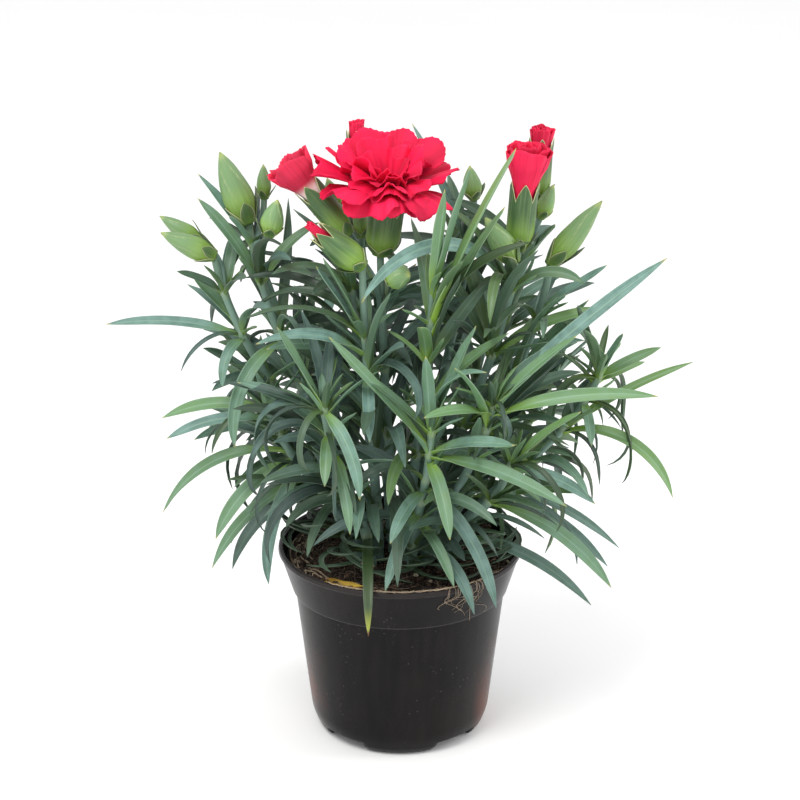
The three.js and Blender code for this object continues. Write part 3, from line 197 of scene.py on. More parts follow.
STEMS = [
    plan("stem_bloom", [-3, -1], [-8, -5, 214], 70, [104, 134, 164, 192], heads=[
        ["bloom", 0, [-8, -5, 214], [-5, -5, 234], 7, 1],
        ["bud", 185, [-4.5, -20, 209], [4, -27.5, 212], 5.4],
    ]),
    plan("stem_bud_left", [-9, 5], [-21, -4, 222], 70, [102, 134, 166, 198], heads=[
        ["opening", 0, [-21, -4, 222], [-36, -3, 240], 5.4, 1, 13, 1],
    ]),
    plan("stem_bud_front", [-9, -8], [-15, -25, 215], 62, [104, 128, 148, 166, 184], leaves=[
        [177, [-57, -40, 187], 60, 7.3], [166, [-12, -52, 150], 50, 6.3],
        [184, [-33, -30, 216], 10, 5.8],
    ], heads=[
        ["opening", 0, [-15, -25, 215], [-31, -29.5, 229], 6, 0.6, 4, -0.3],
    ]),
    plan("stem_bud_behind", [-4, 12], [-18, 30, 234], 72, [110, 142, 174, 208], heads=[
        ["opening", 0, [-18, 30, 234], [-18, 30, 255], 4.6, 0.9, 3.5, 0.2],
        ["bud", 196, [-26, 15, 228], [-30, 14, 241], 3.4],
        ["bud", 190, [-16, 12, 217], [-17, 10, 233], 3.4],
    ]),
    plan("stem_bud_right", [10, -3], [48, -5, 216], 72, [106, 138, 170, 198], leaves=[
        [198, [-15, -43, 205], 125, 7.3],
    ], heads=[
        ["opening", 0, [48, -5, 216], [50, -6, 241], 5.7, 1, 15, 0.8],
        ["bud", 196, [46, -13, 213], [34, -15, 232], 5.1],
    ]),
    plan("stem_bud_right_back", [12, 7], [57, 18, 231], 70, [106, 140, 174, 206], heads=[
        ["opening", 0, [57, 18, 231], [58, 18, 254], 5, 1, 4, 0.5],
        ["bud", 206, [58, 12, 225], [63, 11, 239], 3.6],
    ]),
    plan("stem_bud_long", [19, 0], [62, 5, 207], 66, [110, 132, 156, 182], leaves=[
        [188, [85, 0, 208], 5, 5.3], [180, [84, -2, 190], 10, 4.8], [110, [89, -8, 76], 45, 6.8],
        [113, [95, 2, 80], 40, 5.8], [156, [79, 10, 190], 15, 5.8],
    ], heads=[
        ["bud", 0, [62, 5, 207], [82, 0, 235], 5],
    ]),
    plan("stem_bud_big", [-17, -1], [-62, 4, 225], 66, [104, 130, 154, 176, 199, 216], leaves=[
        [174, [-68, -22, 136], 105, 7.3], [216, [-82, 5, 245], 15, 5.3],
        [199, [-82, 0, 236], 20, 6.3],
    ], heads=[
        ["bud", 0, [-62, 4, 225], [-73, 5, 254], 6.3],
        ["bud", 212, [-53, -8, 223], [-49, -10, 238], 4.7],
        ["bud", 210, [-56, 13, 233], [-56, 13, 247], 3],
    ]),
    plan("stem_buds_side", [-18, 8], [-76, -1, 212], 60, [106, 132, 156, 178, 196], leaves=[
        [178, [-121, -5, 184], 30, 5.3], [176, [-73, -15, 160], 120, 5.8],
        [184, [-86, 5, 202], 15, 5.3],
    ], heads=[
        ["bud", 0, [-76, -1, 212], [-97, -5, 223], 4.7],
        ["bud", 198, [-82, 9, 215], [-99, 10, 226], 3.8],
    ]),
    plan("stem_bud_back", [5, 12], [31, 27, 229], 72, [104, 138, 172, 206], leaves=[
        [205, [5, 22, 262], 15, 5.8],
    ], heads=[
        ["bud", 0, [31, 27, 229], [29, 27, 243], 4],
    ]),
    plan("shoot_tall", [3, -9], [13, -24, 207], 66, [106, 130, 152, 172, 190], leaves=[
        [203, [16, -46, 256], 15, 6.3], [201, [27, -43, 260], 10, 6.3],
        [190, [44, -45, 267], 12, 7.8], [184, [41, -29, 240], 15, 7.3],
        [172, [8, -46, 196], 60, 6.8],
    ]),
    plan("shoot_front", [5, -18], [13, -32, 150], 56, [90, 103, 113, 124, 136, 146], leaves=[
        [136, [65, -72, 131], 30, 7.3], [138, [45, -58, 151], 30, 6.8],
        [140, [-28, -40, 190], 5, 6.3], [142, [34, -48, 178], 105, 6.3],
        [134, [20, -57, 110], 60, 7.3], [121, [39, -57, 80], 60, 7.3],
        [119, [-4, -56, 108], 50, 6.8], [108, [-6, -56, 87], 50, 6.3],
        [103, [22, -52, 87], 55, 5.8], [148, [30, -38, 194], 15, 6.8],
        [146, [10, -52, 186], 20, 6.3],
    ]),
    plan("shoot_left_low", [-12, -14], [-31, -34, 160], 52, [94, 112, 128, 144, 156], leaves=[
        [157, [-16, -54, 126], 70, 6.8], [146, [-30, -54, 132], 60, 6.3],
        [137, [-20, -56, 112], 60, 6.3], [92, [-16, -61, 62], 110, 5.6],
        [158, [-48, -46, 196], 10, 6.3],
    ]),
    plan("shoot_left_fan", [-17, -9], [-56, -8, 152], 54, [110, 123, 136, 148], leaves=[
        [126, [-77, -24, 96], 60, 7.8], [118, [-80, -14, 78], 50, 6.8],
        [122, [-55, -28, 77], 80, 6.8], [130, [-101, -5, 100], 75, 6.8],
        [148, [-101, 5, 139], 45, 6.8], [144, [-97, -14, 137], 45, 6.3],
        [136, [-88, 10, 145], 20, 4.8],
    ]),
    plan("shoot_right_front", [11, -13], [38, -30, 160], 60, [94, 112, 130, 146, 157], leaves=[
        [158, [106, -25, 218], 12, 7.3], [153, [103, -40, 165], 30, 6.8],
        [154, [-10, -52, 163], 30, 6.3], [156, [70, -38, 190], 20, 6.3],
        [148, [22, -60, 185], 40, 6.3],
    ]),
    plan("shoot_right", [18, -9], [83, -8, 165], 50, [108, 124, 139, 152, 162], leaves=[
        [162, [108, -5, 174], 15, 5.3], [163, [91, -14, 183], 10, 5.3],
        [160, [103, 6, 164], 20, 5.3], [139, [120, -15, 171], 20, 4.6],
        [138, [113, -25, 115], 100, 6.3], [151, [79, -22, 137], 60, 5.3],
    ]),
    plan("shoot_right_low", [18, -17], [46, -30, 134], 52, [98, 114, 130], leaves=[
        [130, [80, -34, 116], 45, 6.3], [114, [87, -42, 82], 50, 7.3], [96, [79, -42, 74], 50, 6.3],
        [132, [72, -44, 160], 25, 6.3],
    ]),
    plan("shoot_back_left", [-10, 17], [-38, 38, 166], 64, [104, 122, 140, 156]),
    plan("shoot_back_right", [11, 17], [38, 40, 170], 64, [94, 112, 130, 146, 162]),
    plan("shoot_back", [1, 21], [3, 50, 146], 60, [98, 114, 130, 142], leaves=[
        [130, [14, 72, 116], 60, 6.8], [114, [-18, 70, 92], 60, 6.8],
    ]),
    plan("shoot_right_back", [19, 10], [66, 25, 152], 56, [98, 114, 130, 144]),
    plan("shoot_left_back", [-19, 15], [-62, 27, 152], 56, [96, 112, 128, 144]),
]
print(len(STEMS), "leafy stems,", sum(len(stem["heads"]) for stem in STEMS), "buds and flowers")

# %% [markdown]
# ## Growing the stems
# A carnation stem leaves the soil upright, leans out, and turns up again towards the light. One
# cubic Bezier curve says all of that with four points. The same curve carries the solid, so leaf
# joints that are found on it by their height sit exactly where the solid has them.

# %% Stem curves
STEM_FOOT = 64
STEM_STRAIGHT_TO = 82
STEM_LOW_RADIUS = 2.2
STEM_TOP_RADIUS = 1.5


def bezier(corners, along):
    t = np.asarray(along, float)[..., None]
    k = 1 - t
    a, b, c, d = corners
    return k * k * k * a + 3 * k * k * t * b + 3 * k * t * t * c + t * t * t * d


def tangent(corners, along):
    """The curve's direction, from two points very near each other."""
    delta = 1e-4
    along = np.asarray(along, float)
    way = bezier(corners, np.minimum(along + delta, 1)) - bezier(corners, np.maximum(along - delta, 0))
    return way / np.linalg.norm(way, axis=-1, keepdims=True)


def stem_curve(foot, top):
    low = np.array([*foot, STEM_STRAIGHT_TO], float)
    high = np.array(top, float)
    way = high - low
    leaning = low + way * (0.15, 0.15, 0.33)
    upright = low + way * (0.85, 0.85, 0.6)
    return low, leaning, upright, high


def along_at(corners, height):
    """How far along the curve, from 0 to 1, the stem reaches a height."""
    low, high = 0.0, 1.0
    for _ in range(30):
        middle = (low + high) / 2
        if bezier(corners, middle)[2] < height:
            low = middle
        else:
            high = middle
    return (low + high) / 2


def side_of(axis):
    """A direction square to each axis, as near to the front as it can be."""
    front = np.array([0.0, -1.0, 0.0])
    side = front - axis * (axis @ front)[..., None]
    size = np.linalg.norm(side, axis=-1, keepdims=True)
    return np.where(size > 0.2, side / np.maximum(size, 1e-9), np.array([1.0, 0.0, 0.0]))


for number, stem in enumerate(STEMS):
    stem["number"] = number
    stem["curve"] = stem_curve(stem["foot"], stem["top"])
    stem["joint_places"] = [along_at(stem["curve"], height) for height in stem["joints"]]

# %% [markdown]
# ## Walking along a leaf
# A strap leaf bends under its own weight, so its pitch falls steadily from root to tip, and it
# turns and twists a little. Walking out in steps gives the place, the way on and the upper face at
# each step. A leaf is only kept as its few numbers, so that it can be walked again in finer steps.

# %% Strap leaves
BLADE_STEPS = 12
KEEL_DEPTH = 1.3
WIDEST = 0.35  # where a leaf is widest, as a share of its length
ROOT_WIDTH = 0.36
NARROW_LEAF = 3.9
BROAD_LEAF = 7.2
LONG_LEAF = 60
TIP_POWER = 2.4
TURNED_BY = 0.4  # share of its length by which a leaf has turned its face


def unit(vector):
    return vector / np.linalg.norm(vector, axis=-1, keepdims=True)


def stacked(*parts):
    """Arrays that fit each other, side by side as the columns of points."""
    return np.stack(np.broadcast_arrays(*parts), -1)


def direction(pitch, turn):
    return stacked(np.cos(pitch) * np.cos(turn), np.cos(pitch) * np.sin(turn), np.sin(pitch))


def walk(blade, steps=BLADE_STEPS):
    """Share of the length, points, directions, widths' directions and upper normals along a leaf."""
    s = np.arange(steps + 1) / steps
    pitch = blade["rise"] - blade["droop"] * s
    turn = blade["heading"] + blade["side"] * s
    on = direction(pitch, turn)
    level = stacked(-np.sin(turn), np.cos(turn), 0.0)
    face = np.cross(on, level)
    share = np.minimum(1, s / TURNED_BY)
    lean = (blade["twist"] * s + blade.get("turned", 0) * share * share * (3 - 2 * share))[:, None]
    across = level * np.cos(lean) + face * np.sin(lean)
    normal = np.cross(on, across)
    middle = pitch[:-1] - 0.5 * blade["droop"] / steps
    turned = turn[:-1] + 0.5 * blade["side"] / steps
    moves = direction(middle, turned) * blade["length"] / steps
    points = blade["root"] + np.concatenate([np.zeros((1, 3)), np.cumsum(moves, 0)])
    return s, points, on, across, normal


def half_width(width, s):
    """Narrow at the clasping base, widest before the middle, pointed at the tip."""
    t = np.clip(s / WIDEST, 0, 1)
    root = ROOT_WIDTH + (1 - ROOT_WIDTH) * t * t * (3 - 2 * t)
    tip = 1 - np.clip((s - WIDEST) / (1 - WIDEST), 0, 1) ** TIP_POWER
    return 0.5 * width * np.where(s < WIDEST, root, tip)


# %% [markdown]
# ## Keeping leaves apart
# Leaves of a real clump push each other aside. Here each leaf proposes a way to grow, and takes it
# only if it stays clear of the pot and of everything that belongs to other stems. Each leaf and
# stem is kept as a few straight lengths, and the shortest way between two lengths is found for
# all of them at once with arrays, which keeps a thousand proposals under a few seconds.

# %% What is taken, and whether a leaf is clear of it
CLEARANCE = 0.45
FAR_APART = 12
POT_HEIGHT = 84
RIM_RADIUS = 52.5
SOIL_LEVEL = 78.8
SOIL_DOME = 0.2
SOIL_LUMPS = 0.9

# A row of taken holds: start, end, width direction, face normal, half width, half depth, whether
# it is round, and the number of the stem that owns it.
taken = np.zeros((0, 16))


def take_round(owner, start, end, radius):
    global taken
    row = [*start, *end, 0, 0, 0, 0, 0, 0, radius, radius, 1, owner]
    taken = np.vstack([taken, row])


def blade_lengths(blade, owner):
    s, points, _, across, normal = walk(blade)
    half = half_width(blade["width"], s)
    sunk = -0.5 * KEEL_DEPTH * normal[1::2]
    count = len(sunk)
    rest = np.zeros((count, 4))
    rest[:, 0] = np.maximum(half[0:-1:2], half[2::2])
    rest[:, 1] = 0.5 * KEEL_DEPTH
    rest[:, 3] = owner
    return np.hstack([points[0:-1:2] + sunk, points[2::2] + sunk, across[1::2], normal[1::2], rest])


def thickness(rows, way):
    wide = np.abs((rows[..., 6:9] * way).sum(-1)) * rows[..., 12]
    deep = np.abs((rows[..., 9:12] * way).sum(-1)) * rows[..., 13]
    return np.where(rows[..., 14] > 0, rows[..., 12], wide + deep)


def clear_of_plant(lengths, owner, clearance=CLEARANCE):
    one = lengths[:, None]
    two = taken[taken[:, 15] != owner][None]
    d1 = one[..., 3:6] - one[..., 0:3]
    d2 = two[..., 3:6] - two[..., 0:3]
    r = one[..., 0:3] - two[..., 0:3]
    a = (d1 * d1).sum(-1)
    b = (d1 * d2).sum(-1)
    c = (d1 * r).sum(-1)
    e = (d2 * d2).sum(-1)
    f = (d2 * r).sum(-1)
    det = a * e - b * b
    s = np.where(det > 1e-9, np.clip((b * f - c * e) / np.maximum(det, 1e-9), 0, 1), 0)
    t = (b * s + f) / e
    s = np.where(t < 0, np.clip(-c / a, 0, 1), np.where(t > 1, np.clip((b - c) / a, 0, 1), s))
    t = np.clip(t, 0, 1)
    way = r + d1 * s[..., None] - d2 * t[..., None]
    distance = np.linalg.norm(way, axis=-1)
    way = way / (distance + 1e-9)[..., None]
    room = thickness(one, way) + thickness(two, way)
    return not ((distance <= FAR_APART) & (distance < room + clearance)).any()


def clear_of_pot(blade):
    """Whether a leaf stays over the soil or outside the pot, and over the rim where it crosses."""
    s, points, _, across, _ = walk(blade)
    share = np.tile(np.arange(3) / 3, BLADE_STEPS)[:, None]
    place = np.repeat(points[:-1], 3, 0) * (1 - share) + np.repeat(points[1:], 3, 0) * share
    half = np.repeat(half_width(blade["width"], s)[:-1], 3)
    across = np.repeat(across[:-1], 3, 0)
    low = place[:, 2] - half * np.abs(across[:, 2]) - KEEL_DEPTH
    radius = np.hypot(place[:, 0], place[:, 1])
    outward = np.abs((across[:, :2] * place[:, :2]).sum(1))
    radial = half * outward / (radius + 1e-9) + KEEL_DEPTH
    near = (low <= POT_HEIGHT + 0.5) & (radius - radial <= RIM_RADIUS + 0.5)
    inside = radius + radial < RIM_RADIUS - 4.5
    return not (near & (~inside | (low < SOIL_LEVEL + SOIL_DOME + SOIL_LUMPS + 0.3))).any()


# %% [markdown]
# ## Stems, buds and flowers take their room first
# The open flower is wide and soft, and leaves bend away under it, so it takes a flat disc of room.
# A bud on a side stalk takes its own room and that of the stalk.

# %% Rooms of stems and heads
def head_frame(head):
    base, tip = np.array(head.base, float), np.array(head.tip, float)
    length = np.linalg.norm(tip - base)
    axis = (tip - base) / length
    side = side_of(axis)
    return base, axis, length, side, np.cross(axis, side)


def stalk_curve(stem, head):
    """The stalk of a side bud, from its joint on the stem to the foot of the bud."""
    base, axis, length, _, _ = head_frame(head)
    root = bezier(stem["curve"], along_at(stem["curve"], head.branch))
    reach = 0.45 * np.linalg.norm(base - root)
    return root, root + UP * reach, base - axis * reach, base + axis * 0.1 * length


def take_head(stem, head):
    owner = stem["number"]
    base, axis, length, _, _ = head_frame(head)
    tip = base + axis * length
    standing = head.stand + 3 if head.kind == "opening" else 0
    wide = head.kind == "opening" and head.widens > 0
    take_round(owner, base, tip, head.radius + 0.5)
    if standing:
        take_round(owner, tip, tip + axis * standing, head.radius + (2.5 if wide else 0.5))
    if head.branch:
        curve = stalk_curve(stem, head)
        start, middle, end = bezier(curve, [0, 0.5, 1])
        take_round(owner, start, middle, STEM_TOP_RADIUS)
        take_round(owner, middle, end, STEM_TOP_RADIUS)
    if head.kind == "bloom":
        middle = tip + axis * 12
        for k in range(8):
            turn = k * math.pi / 4
            out = np.array([math.cos(turn), math.sin(turn), 0.2 * math.sin(turn)])
            take_round(owner, middle, middle + out * 22, 8)


for stem in STEMS:
    places = bezier(stem["curve"], [0, *stem["joint_places"], 1])
    places = np.vstack([[*stem["foot"], STEM_FOOT], places])
    for low, high in zip(places, places[1:]):
        take_round(stem["number"], low, high, STEM_LOW_RADIUS * 1.2)
    for head in stem["heads"]:
        take_head(stem, head)
print(len(taken), "lengths of stem, stalk and head")

# %% [markdown]
# ## Leaves by rule
# Leaves sit in pairs, each pair square to the one below. The few leaves that make the plant's
# outline are aimed at their tips first. The others follow from their joint: low ones are long and
# droop, high ones are short and stand close to the stem. The draw is a plain seeded row of
# numbers, the same one that placed the solids.

# %% A seeded row of draws
class Draws:
    def __init__(self, seed):
        self.seed = seed

    def __call__(self, low, high):
        self.seed = self.seed * 16807 % 2147483647
        return low + (high - low) * self.seed / 2147483647


draw = Draws(20617)


# %% Outline leaves and ordinary leaves
OUTLINE_TRIES = 24
OUTLINE_REACH = 140
ORDINARY_TRIES = 30
REACH = 92
DEPTH_REACH = 71
SAME_JOINT = 8  # millimetres of height
SAME_SIDE = 0.6  # cosine of the angle between two leaves


def reaching_blade(stem, leaf, heading, rise, shorter, twist):
    """A leaf of the outline, from its joint to the tip it has to reach."""
    height, tip, droop, width = leaf
    root = bezier(stem["curve"], along_at(stem["curve"], height))
    chord = np.array(tip, float) - root
    far = np.linalg.norm(chord)
    bend = droop * DEGREE
    stretch = bend / 2 / math.sin(bend / 2) if bend > 0.02 else 1
    return dict(
        root=root, heading=math.atan2(chord[1], chord[0]) + heading,
        rise=math.asin(chord[2] / far) + bend / 2 + rise, droop=bend, side=0, twist=twist,
        length=far * stretch * (1 - shorter), width=width,
    )


def ordinary_blade(stem, joint, heading, length, opening, droop, side, twist):
    """A leaf at a joint: lower ones are longer and droop more."""
    along = stem["joint_places"][joint]
    axis = tangent(stem["curve"], along)
    flowering = bool(stem["heads"])
    share = joint / (len(stem["joints"]) - 1)
    size = 1 - 0.62 * share * share if flowering else 1 - 0.25 * share
    reach = stem["long"] * size * length
    lean = (42 - 12 * share if flowering else 46 - 18 * share) * DEGREE * opening
    fall = (92 - 62 * share if flowering else 88 - 46 * share) * DEGREE * droop
    out = np.array([math.cos(heading), math.sin(heading), 0])
    out = unit(out - axis * (out @ axis))
    way = axis * math.cos(lean) + out * math.sin(lean)
    width = NARROW_LEAF + (BROAD_LEAF - NARROW_LEAF) * min(1, reach / LONG_LEAF)
    return dict(
        root=bezier(stem["curve"], along), heading=math.atan2(way[1], way[0]),
        rise=math.asin(way[2]), droop=fall, side=side, twist=twist, length=reach, width=width,
    )


# %% Settling the leaves
def settle(stem, propose, tries, reach, depth_reach, clearance=CLEARANCE):
    """Takes the first proposal that is clear of pot and plant, and keeps its room."""
    global taken
    for attempt in range(tries):
        blade = propose(attempt)
        points = walk(blade)[1]
        if math.hypot(points[-1][0], points[-1][1]) > reach:
            continue
        if np.abs(points[:, 1]).max() > depth_reach or not clear_of_pot(blade):
            continue
        lengths = blade_lengths(blade, stem["number"])
        if not clear_of_plant(lengths, stem["number"], clearance):
            continue
        taken = np.vstack([taken, lengths])
        stem["blades"].append(blade)
        return True
    return False


def propose_outline(stem, leaf, attempt):
    loose = 2 * attempt / OUTLINE_TRIES
    heading = draw(-0.3, 0.3) * loose
    rise = draw(-0.3, 0.3) * loose
    shorter = draw(0, 0.2) * loose
    return reaching_blade(stem, leaf, heading, rise, shorter, draw(-0.5, 0.5))


def propose_ordinary(stem, joint, heading, attempt):
    loose = min(1, 0.35 + attempt / 10)
    turned = heading + draw(-0.9, 0.9) * loose
    length = draw(1 - 0.45 * loose, 1.08)
    opening = draw(1 - 0.5 * loose, 1 + 0.4 * loose)
    droop = draw(1 - 0.8 * loose, 1 + 0.5 * loose)
    side = draw(-0.5, 0.5)
    return ordinary_blade(stem, joint, turned, length, opening, droop, side, draw(-0.8, 0.8))


def has_outline_leaf(stem, height, heading):
    """Whether a leaf of the outline already fills this side of a joint."""
    for root, tip, _, _ in stem["leaves"]:
        place = bezier(stem["curve"], along_at(stem["curve"], root))
        turn = math.atan2(tip[1] - place[1], tip[0] - place[0]) - heading
        if abs(root - height) < SAME_JOINT and math.cos(turn) > SAME_SIDE:
            return True
    return False


def leaves_so_far():
    return sum(len(stem["blades"]) for stem in STEMS)


for stem in STEMS:
    for leaf in stem["leaves"]:
        settle(stem, lambda attempt: propose_outline(stem, leaf, attempt),
               OUTLINE_TRIES, OUTLINE_REACH, DEPTH_REACH + 2)
    stem["outline"] = len(stem["blades"])
print(sum(stem["outline"] for stem in STEMS), "leaves in the outline")

for joint in reversed(range(max(len(stem["joints"]) for stem in STEMS))):
    for stem in (s for s in STEMS if len(s["joints"]) > joint):
        away = np.subtract(stem["top"][:2], stem["foot"])
        outward = math.atan2(away[1], away[0])
        pair = outward + (math.pi / 2 if joint % 2 else 0.2)
        for heading in (pair, pair + math.pi):
            if has_outline_leaf(stem, stem["joints"][joint], heading):
                continue
            settle(stem, lambda attempt: propose_ordinary(stem, joint, heading, attempt),
                   ORDINARY_TRIES, REACH, DEPTH_REACH)
print(leaves_so_far(), "leaves where the solids have them")

# %% [markdown]
# ## Faces turned to the light
# A leaf that grows sideways would show only its edge from the front. Real ones twist at the base
# until their upper face meets the light, which here comes from the front. Each leaf keeps its place
# and turns about its own middle line. The one that arches in front of the round bud turns furthest.

# %% Turning the leaves
FACE_TURN = 0.85
ARCH_TURN = 1.25
ARCH_WIDTH = 7.3

for stem in STEMS:
    for number, blade in enumerate(stem["blades"]):
        sideways = math.cos(blade["heading"])
        arching = stem["name"] == "stem_bud_right" and blade["width"] == ARCH_WIDTH
        blade["turned"] = (ARCH_TURN if arching else FACE_TURN) * sideways
        if arching:
            blade |= {"twist": 0.0, "young": 0.0}
print("leaves turned by up to", ARCH_TURN, "radians")

# %% [markdown]
# ## Finishes
# Waxy leaves, stems, flower cups and buds share one effect: a pale blue bloom of wax over green
# tissue, rubbed off in patches and drawn out into fine lines along the way the tissue grew. It is a
# node group with its own fresh and waxed colours, and so are the lines and the dust. Each mesh
# carries a few values for them: how far along its piece a point lies, how far from its middle, a
# tone for each leaf, which also holds painted shade inside the clump, low down and in petal folds,
# how young it is, how pale the place is (an edge, a joint or an underside, and on the pot the
# painted highlight of its edges), and the point's place on the unrolled surface in millimetres.

# %% Colours and values that the meshes carry
VALUES = ("along", "across", "tone", "young", "pale")


def rgb(red, green, blue):
    """A colour picked on screen, from 0 to 255, as the linear colour that a shader takes."""
    def linear(value):
        value = value / 255
        return value / 12.92 if value <= 0.04045 else ((value + 0.055) / 1.055) ** 2.4
    return (linear(red), linear(green), linear(blue), 1.0)


def carried(tree, name, output="Fac"):
    return add_node(tree, "ShaderNodeAttribute", attribute_name=name).outputs[output]


def band(tree, value, low, high, to_low=0.0, to_high=1.0):
    """A value moved smoothly from one range to another."""
    inputs = {"Value": value, "From Min": low, "From Max": high}
    inputs |= {"To Min": to_low, "To Max": to_high}
    node = add_node(tree, "ShaderNodeMapRange", inputs, interpolation_type="SMOOTHSTEP")
    return node.outputs["Result"]


def times(tree, one, two, operation="MULTIPLY"):
    clamped = operation == "MULTIPLY"
    inputs = {0: one, 1: two}
    node = add_node(tree, "ShaderNodeMath", inputs, operation=operation, use_clamp=clamped)
    return node.outputs["Value"]


def blend_colours(tree, share, one, two, blend_type="MIX"):
    settings = {"data_type": "RGBA", "blend_type": blend_type}
    node = add_node(tree, "ShaderNodeMix", {0: share, 6: one, 7: two}, **settings)
    return node.outputs[2]


def layered(tree, colour, *layers):
    """A colour with others laid over it. Each layer is a mask and its colour."""
    for mask, other in layers:
        colour = blend_colours(tree, mask, colour, other)
    return colour


def shaded(tree, colour, value, low, high, dark, light):
    """A colour made darker or lighter as a value goes from low to high."""
    shade = band(tree, value, low, high, dark, light)
    return blend_colours(tree, 1.0, colour, shade, "MULTIPLY")


def noise(tree, place, scale, detail=2.0):
    inputs = {"Vector": place, "Scale": scale, "Detail": detail}
    return add_node(tree, "ShaderNodeTexNoise", inputs).outputs["Fac"]


def own_place(tree):
    """Where a point lies in its object, in metres."""
    return add_node(tree, "ShaderNodeTexCoord").outputs["Object"]


def new_group(name, inputs, outputs):
    """A node group with named inputs and outputs, given as {name: default} and {name: type}."""
    group = bpy.data.node_groups.new(name, "ShaderNodeTree")
    for label, default in inputs.items():
        kind = "NodeSocketColor" if isinstance(default, tuple) else "NodeSocketFloat"
        socket = group.interface.new_socket(name=label, in_out="INPUT", socket_type=kind)
        socket.default_value = default
    for label, kind in outputs.items():
        group.interface.new_socket(name=label, in_out="OUTPUT", socket_type=kind)
    start = group.nodes.new("NodeGroupInput")
    end = group.nodes.new("NodeGroupOutput")
    return group, start.outputs, end.inputs


def place_group(tree, group, inputs):
    return add_node(tree, "ShaderNodeGroup", inputs, node_tree=group).outputs


def new_finish(name, roughness):
    material = bpy.data.materials.new(name)
    material.use_nodes = True
    surface = material.node_tree.nodes["Principled BSDF"]
    surface.inputs["Roughness"].default_value = roughness
    return material, material.node_tree, surface


def paint(tree, surface, colour, roughness=None):
    tree.links.new(colour, surface.inputs["Base Color"])
    if roughness is not None:
        tree.links.new(roughness, surface.inputs["Roughness"])


def bump(tree, surface, height, strength, depth):
    inputs = {"Height": height, "Strength": strength, "Distance": depth * MM}
    node = add_node(tree, "ShaderNodeBump", inputs)
    tree.links.new(node.outputs["Normal"], surface.inputs["Normal"])


# %% [markdown]
# ### Fine lines along the growth
# Leaf veins, petal veins and straw fibres all run one way. Noise that is stretched along the
# unrolled surface gives them, at a width in millimetres that each material chooses.

# %% Group: growth lines
def make_growth_lines():
    sizes = {"Line width": 0.5, "Line length": 20.0}
    group, given, out = new_group("growth lines", sizes, {"Lines": "NodeSocketFloat"})
    grain = add_node(group, "ShaderNodeSeparateXYZ", {"Vector": carried(group, "grain", "Vector")})
    across = times(group, grain.outputs["X"], given["Line width"], "DIVIDE")
    along = times(group, grain.outputs["Y"], given["Line length"], "DIVIDE")
    parts = {"X": across, "Y": along, "Z": grain.outputs["Z"]}
    flat = add_node(group, "ShaderNodeCombineXYZ", parts)
    group.links.new(noise(group, flat.outputs[0], 1.0), out["Lines"])
    return group


def growth_lines(tree, width, length):
    """The lines at a width and length in millimetres."""
    return place_group(tree, GROWTH_LINES, {"Line width": width, "Line length": length})["Lines"]


GROWTH_LINES = make_growth_lines()


# %% [markdown]
# ### Wax bloom
# The wax is thickest on young flat faces and wears off where leaves rub. Two noises say where it
# lies: broad cloudy patches, and the growth lines. It is paler, bluer and duller than the tissue.

# %% Group: wax bloom
def make_wax_bloom():
    colours = {"Fresh": (0.1, 0.2, 0.1, 1.0), "Waxed": (0.2, 0.3, 0.25, 1.0)}
    inputs = colours | {"Amount": 0.6, "Patch size": 6.0}
    outputs = {"Colour": "NodeSocketColor", "Roughness": "NodeSocketFloat"}
    group, given, out = new_group("wax bloom", inputs, outputs)
    scale = times(group, 1000.0, given["Patch size"], "DIVIDE")
    cover = band(group, noise(group, own_place(group), scale, 4.0), 0.25, 0.7, 0.45, 1.0)
    streaks = band(group, growth_lines(group, 0.45, 14.0), 0.25, 0.7, 0.6, 1.0)
    mask = times(group, times(group, cover, streaks), given["Amount"])
    group.links.new(blend_colours(group, mask, given["Fresh"], given["Waxed"]), out["Colour"])
    group.links.new(band(group, mask, 0.0, 1.0, 0.42, 0.66), out["Roughness"])
    return group


def wax_over(tree, fresh, waxed, amount):
    """The colour and roughness of tissue with its wax, in patches of 5 mm."""
    inputs = {"Fresh": fresh, "Waxed": waxed, "Amount": amount, "Patch size": 5.0}
    outputs = place_group(tree, WAX_BLOOM, inputs)
    return outputs["Colour"], outputs["Roughness"]


WAX_BLOOM = make_wax_bloom()


# %% Group: dust
def make_dust():
    """Small pale specks and a thin film, for plastic and for compost."""
    inputs = {"Speck size": 1.0, "Specks": 0.5, "Film": 0.2}
    group, given, out = new_group("dust", inputs, {"Mask": "NodeSocketFloat"})
    place = own_place(group)
    scale = times(group, 1000.0, given["Speck size"], "DIVIDE")
    cells = add_node(group, "ShaderNodeTexVoronoi", {"Vector": place, "Scale": scale})
    dots = band(group, cells.outputs["Distance"], 0.2, 0.08)
    where = band(group, noise(group, place, 60.0), 0.52, 0.66)
    specks = times(group, times(group, dots, where), given["Specks"])
    haze = times(group, band(group, noise(group, place, 22.0, 6.0), 0.4, 0.75), given["Film"])
    group.links.new(times(group, specks, haze, "MAXIMUM"), out["Mask"])
    return group


def dust_over(tree, size, specks, film):
    return place_group(tree, DUST, {"Speck size": size, "Specks": specks, "Film": film})["Mask"]


DUST = make_dust()
print("node groups:", ", ".join(group.name for group in (GROWTH_LINES, WAX_BLOOM, DUST)))


# %% [markdown]
# ### Leaf, stem and cup
# A leaf is yellow-green where it leaves the stem and blue-green beyond, with a paler line down its
# middle. Young leaves keep more yellow. Stems and flower cups are the same tissue, with wider lines
# and, on cups and buds, thin cream margins where two sepals meet.

# %% Finish: leaves
LEAF_DEEP = rgb(58, 92, 82)
LEAF_GREEN = rgb(108, 144, 70)
LEAF_UNDER = rgb(92, 128, 88)
LEAF_YOUNG = rgb(136, 172, 58)
LEAF_OLD = rgb(70, 96, 50)
LEAF_WAX = rgb(126, 160, 150)
LEAF_RIB = rgb(134, 170, 132)
LEAF_EDGE_HIGHLIGHT = rgb(150, 176, 146)
LEAF_TIP = rgb(176, 168, 92)
LEAF_YELLOWED = rgb(150, 158, 64)
LEAF_WITHERED = rgb(112, 74, 46)


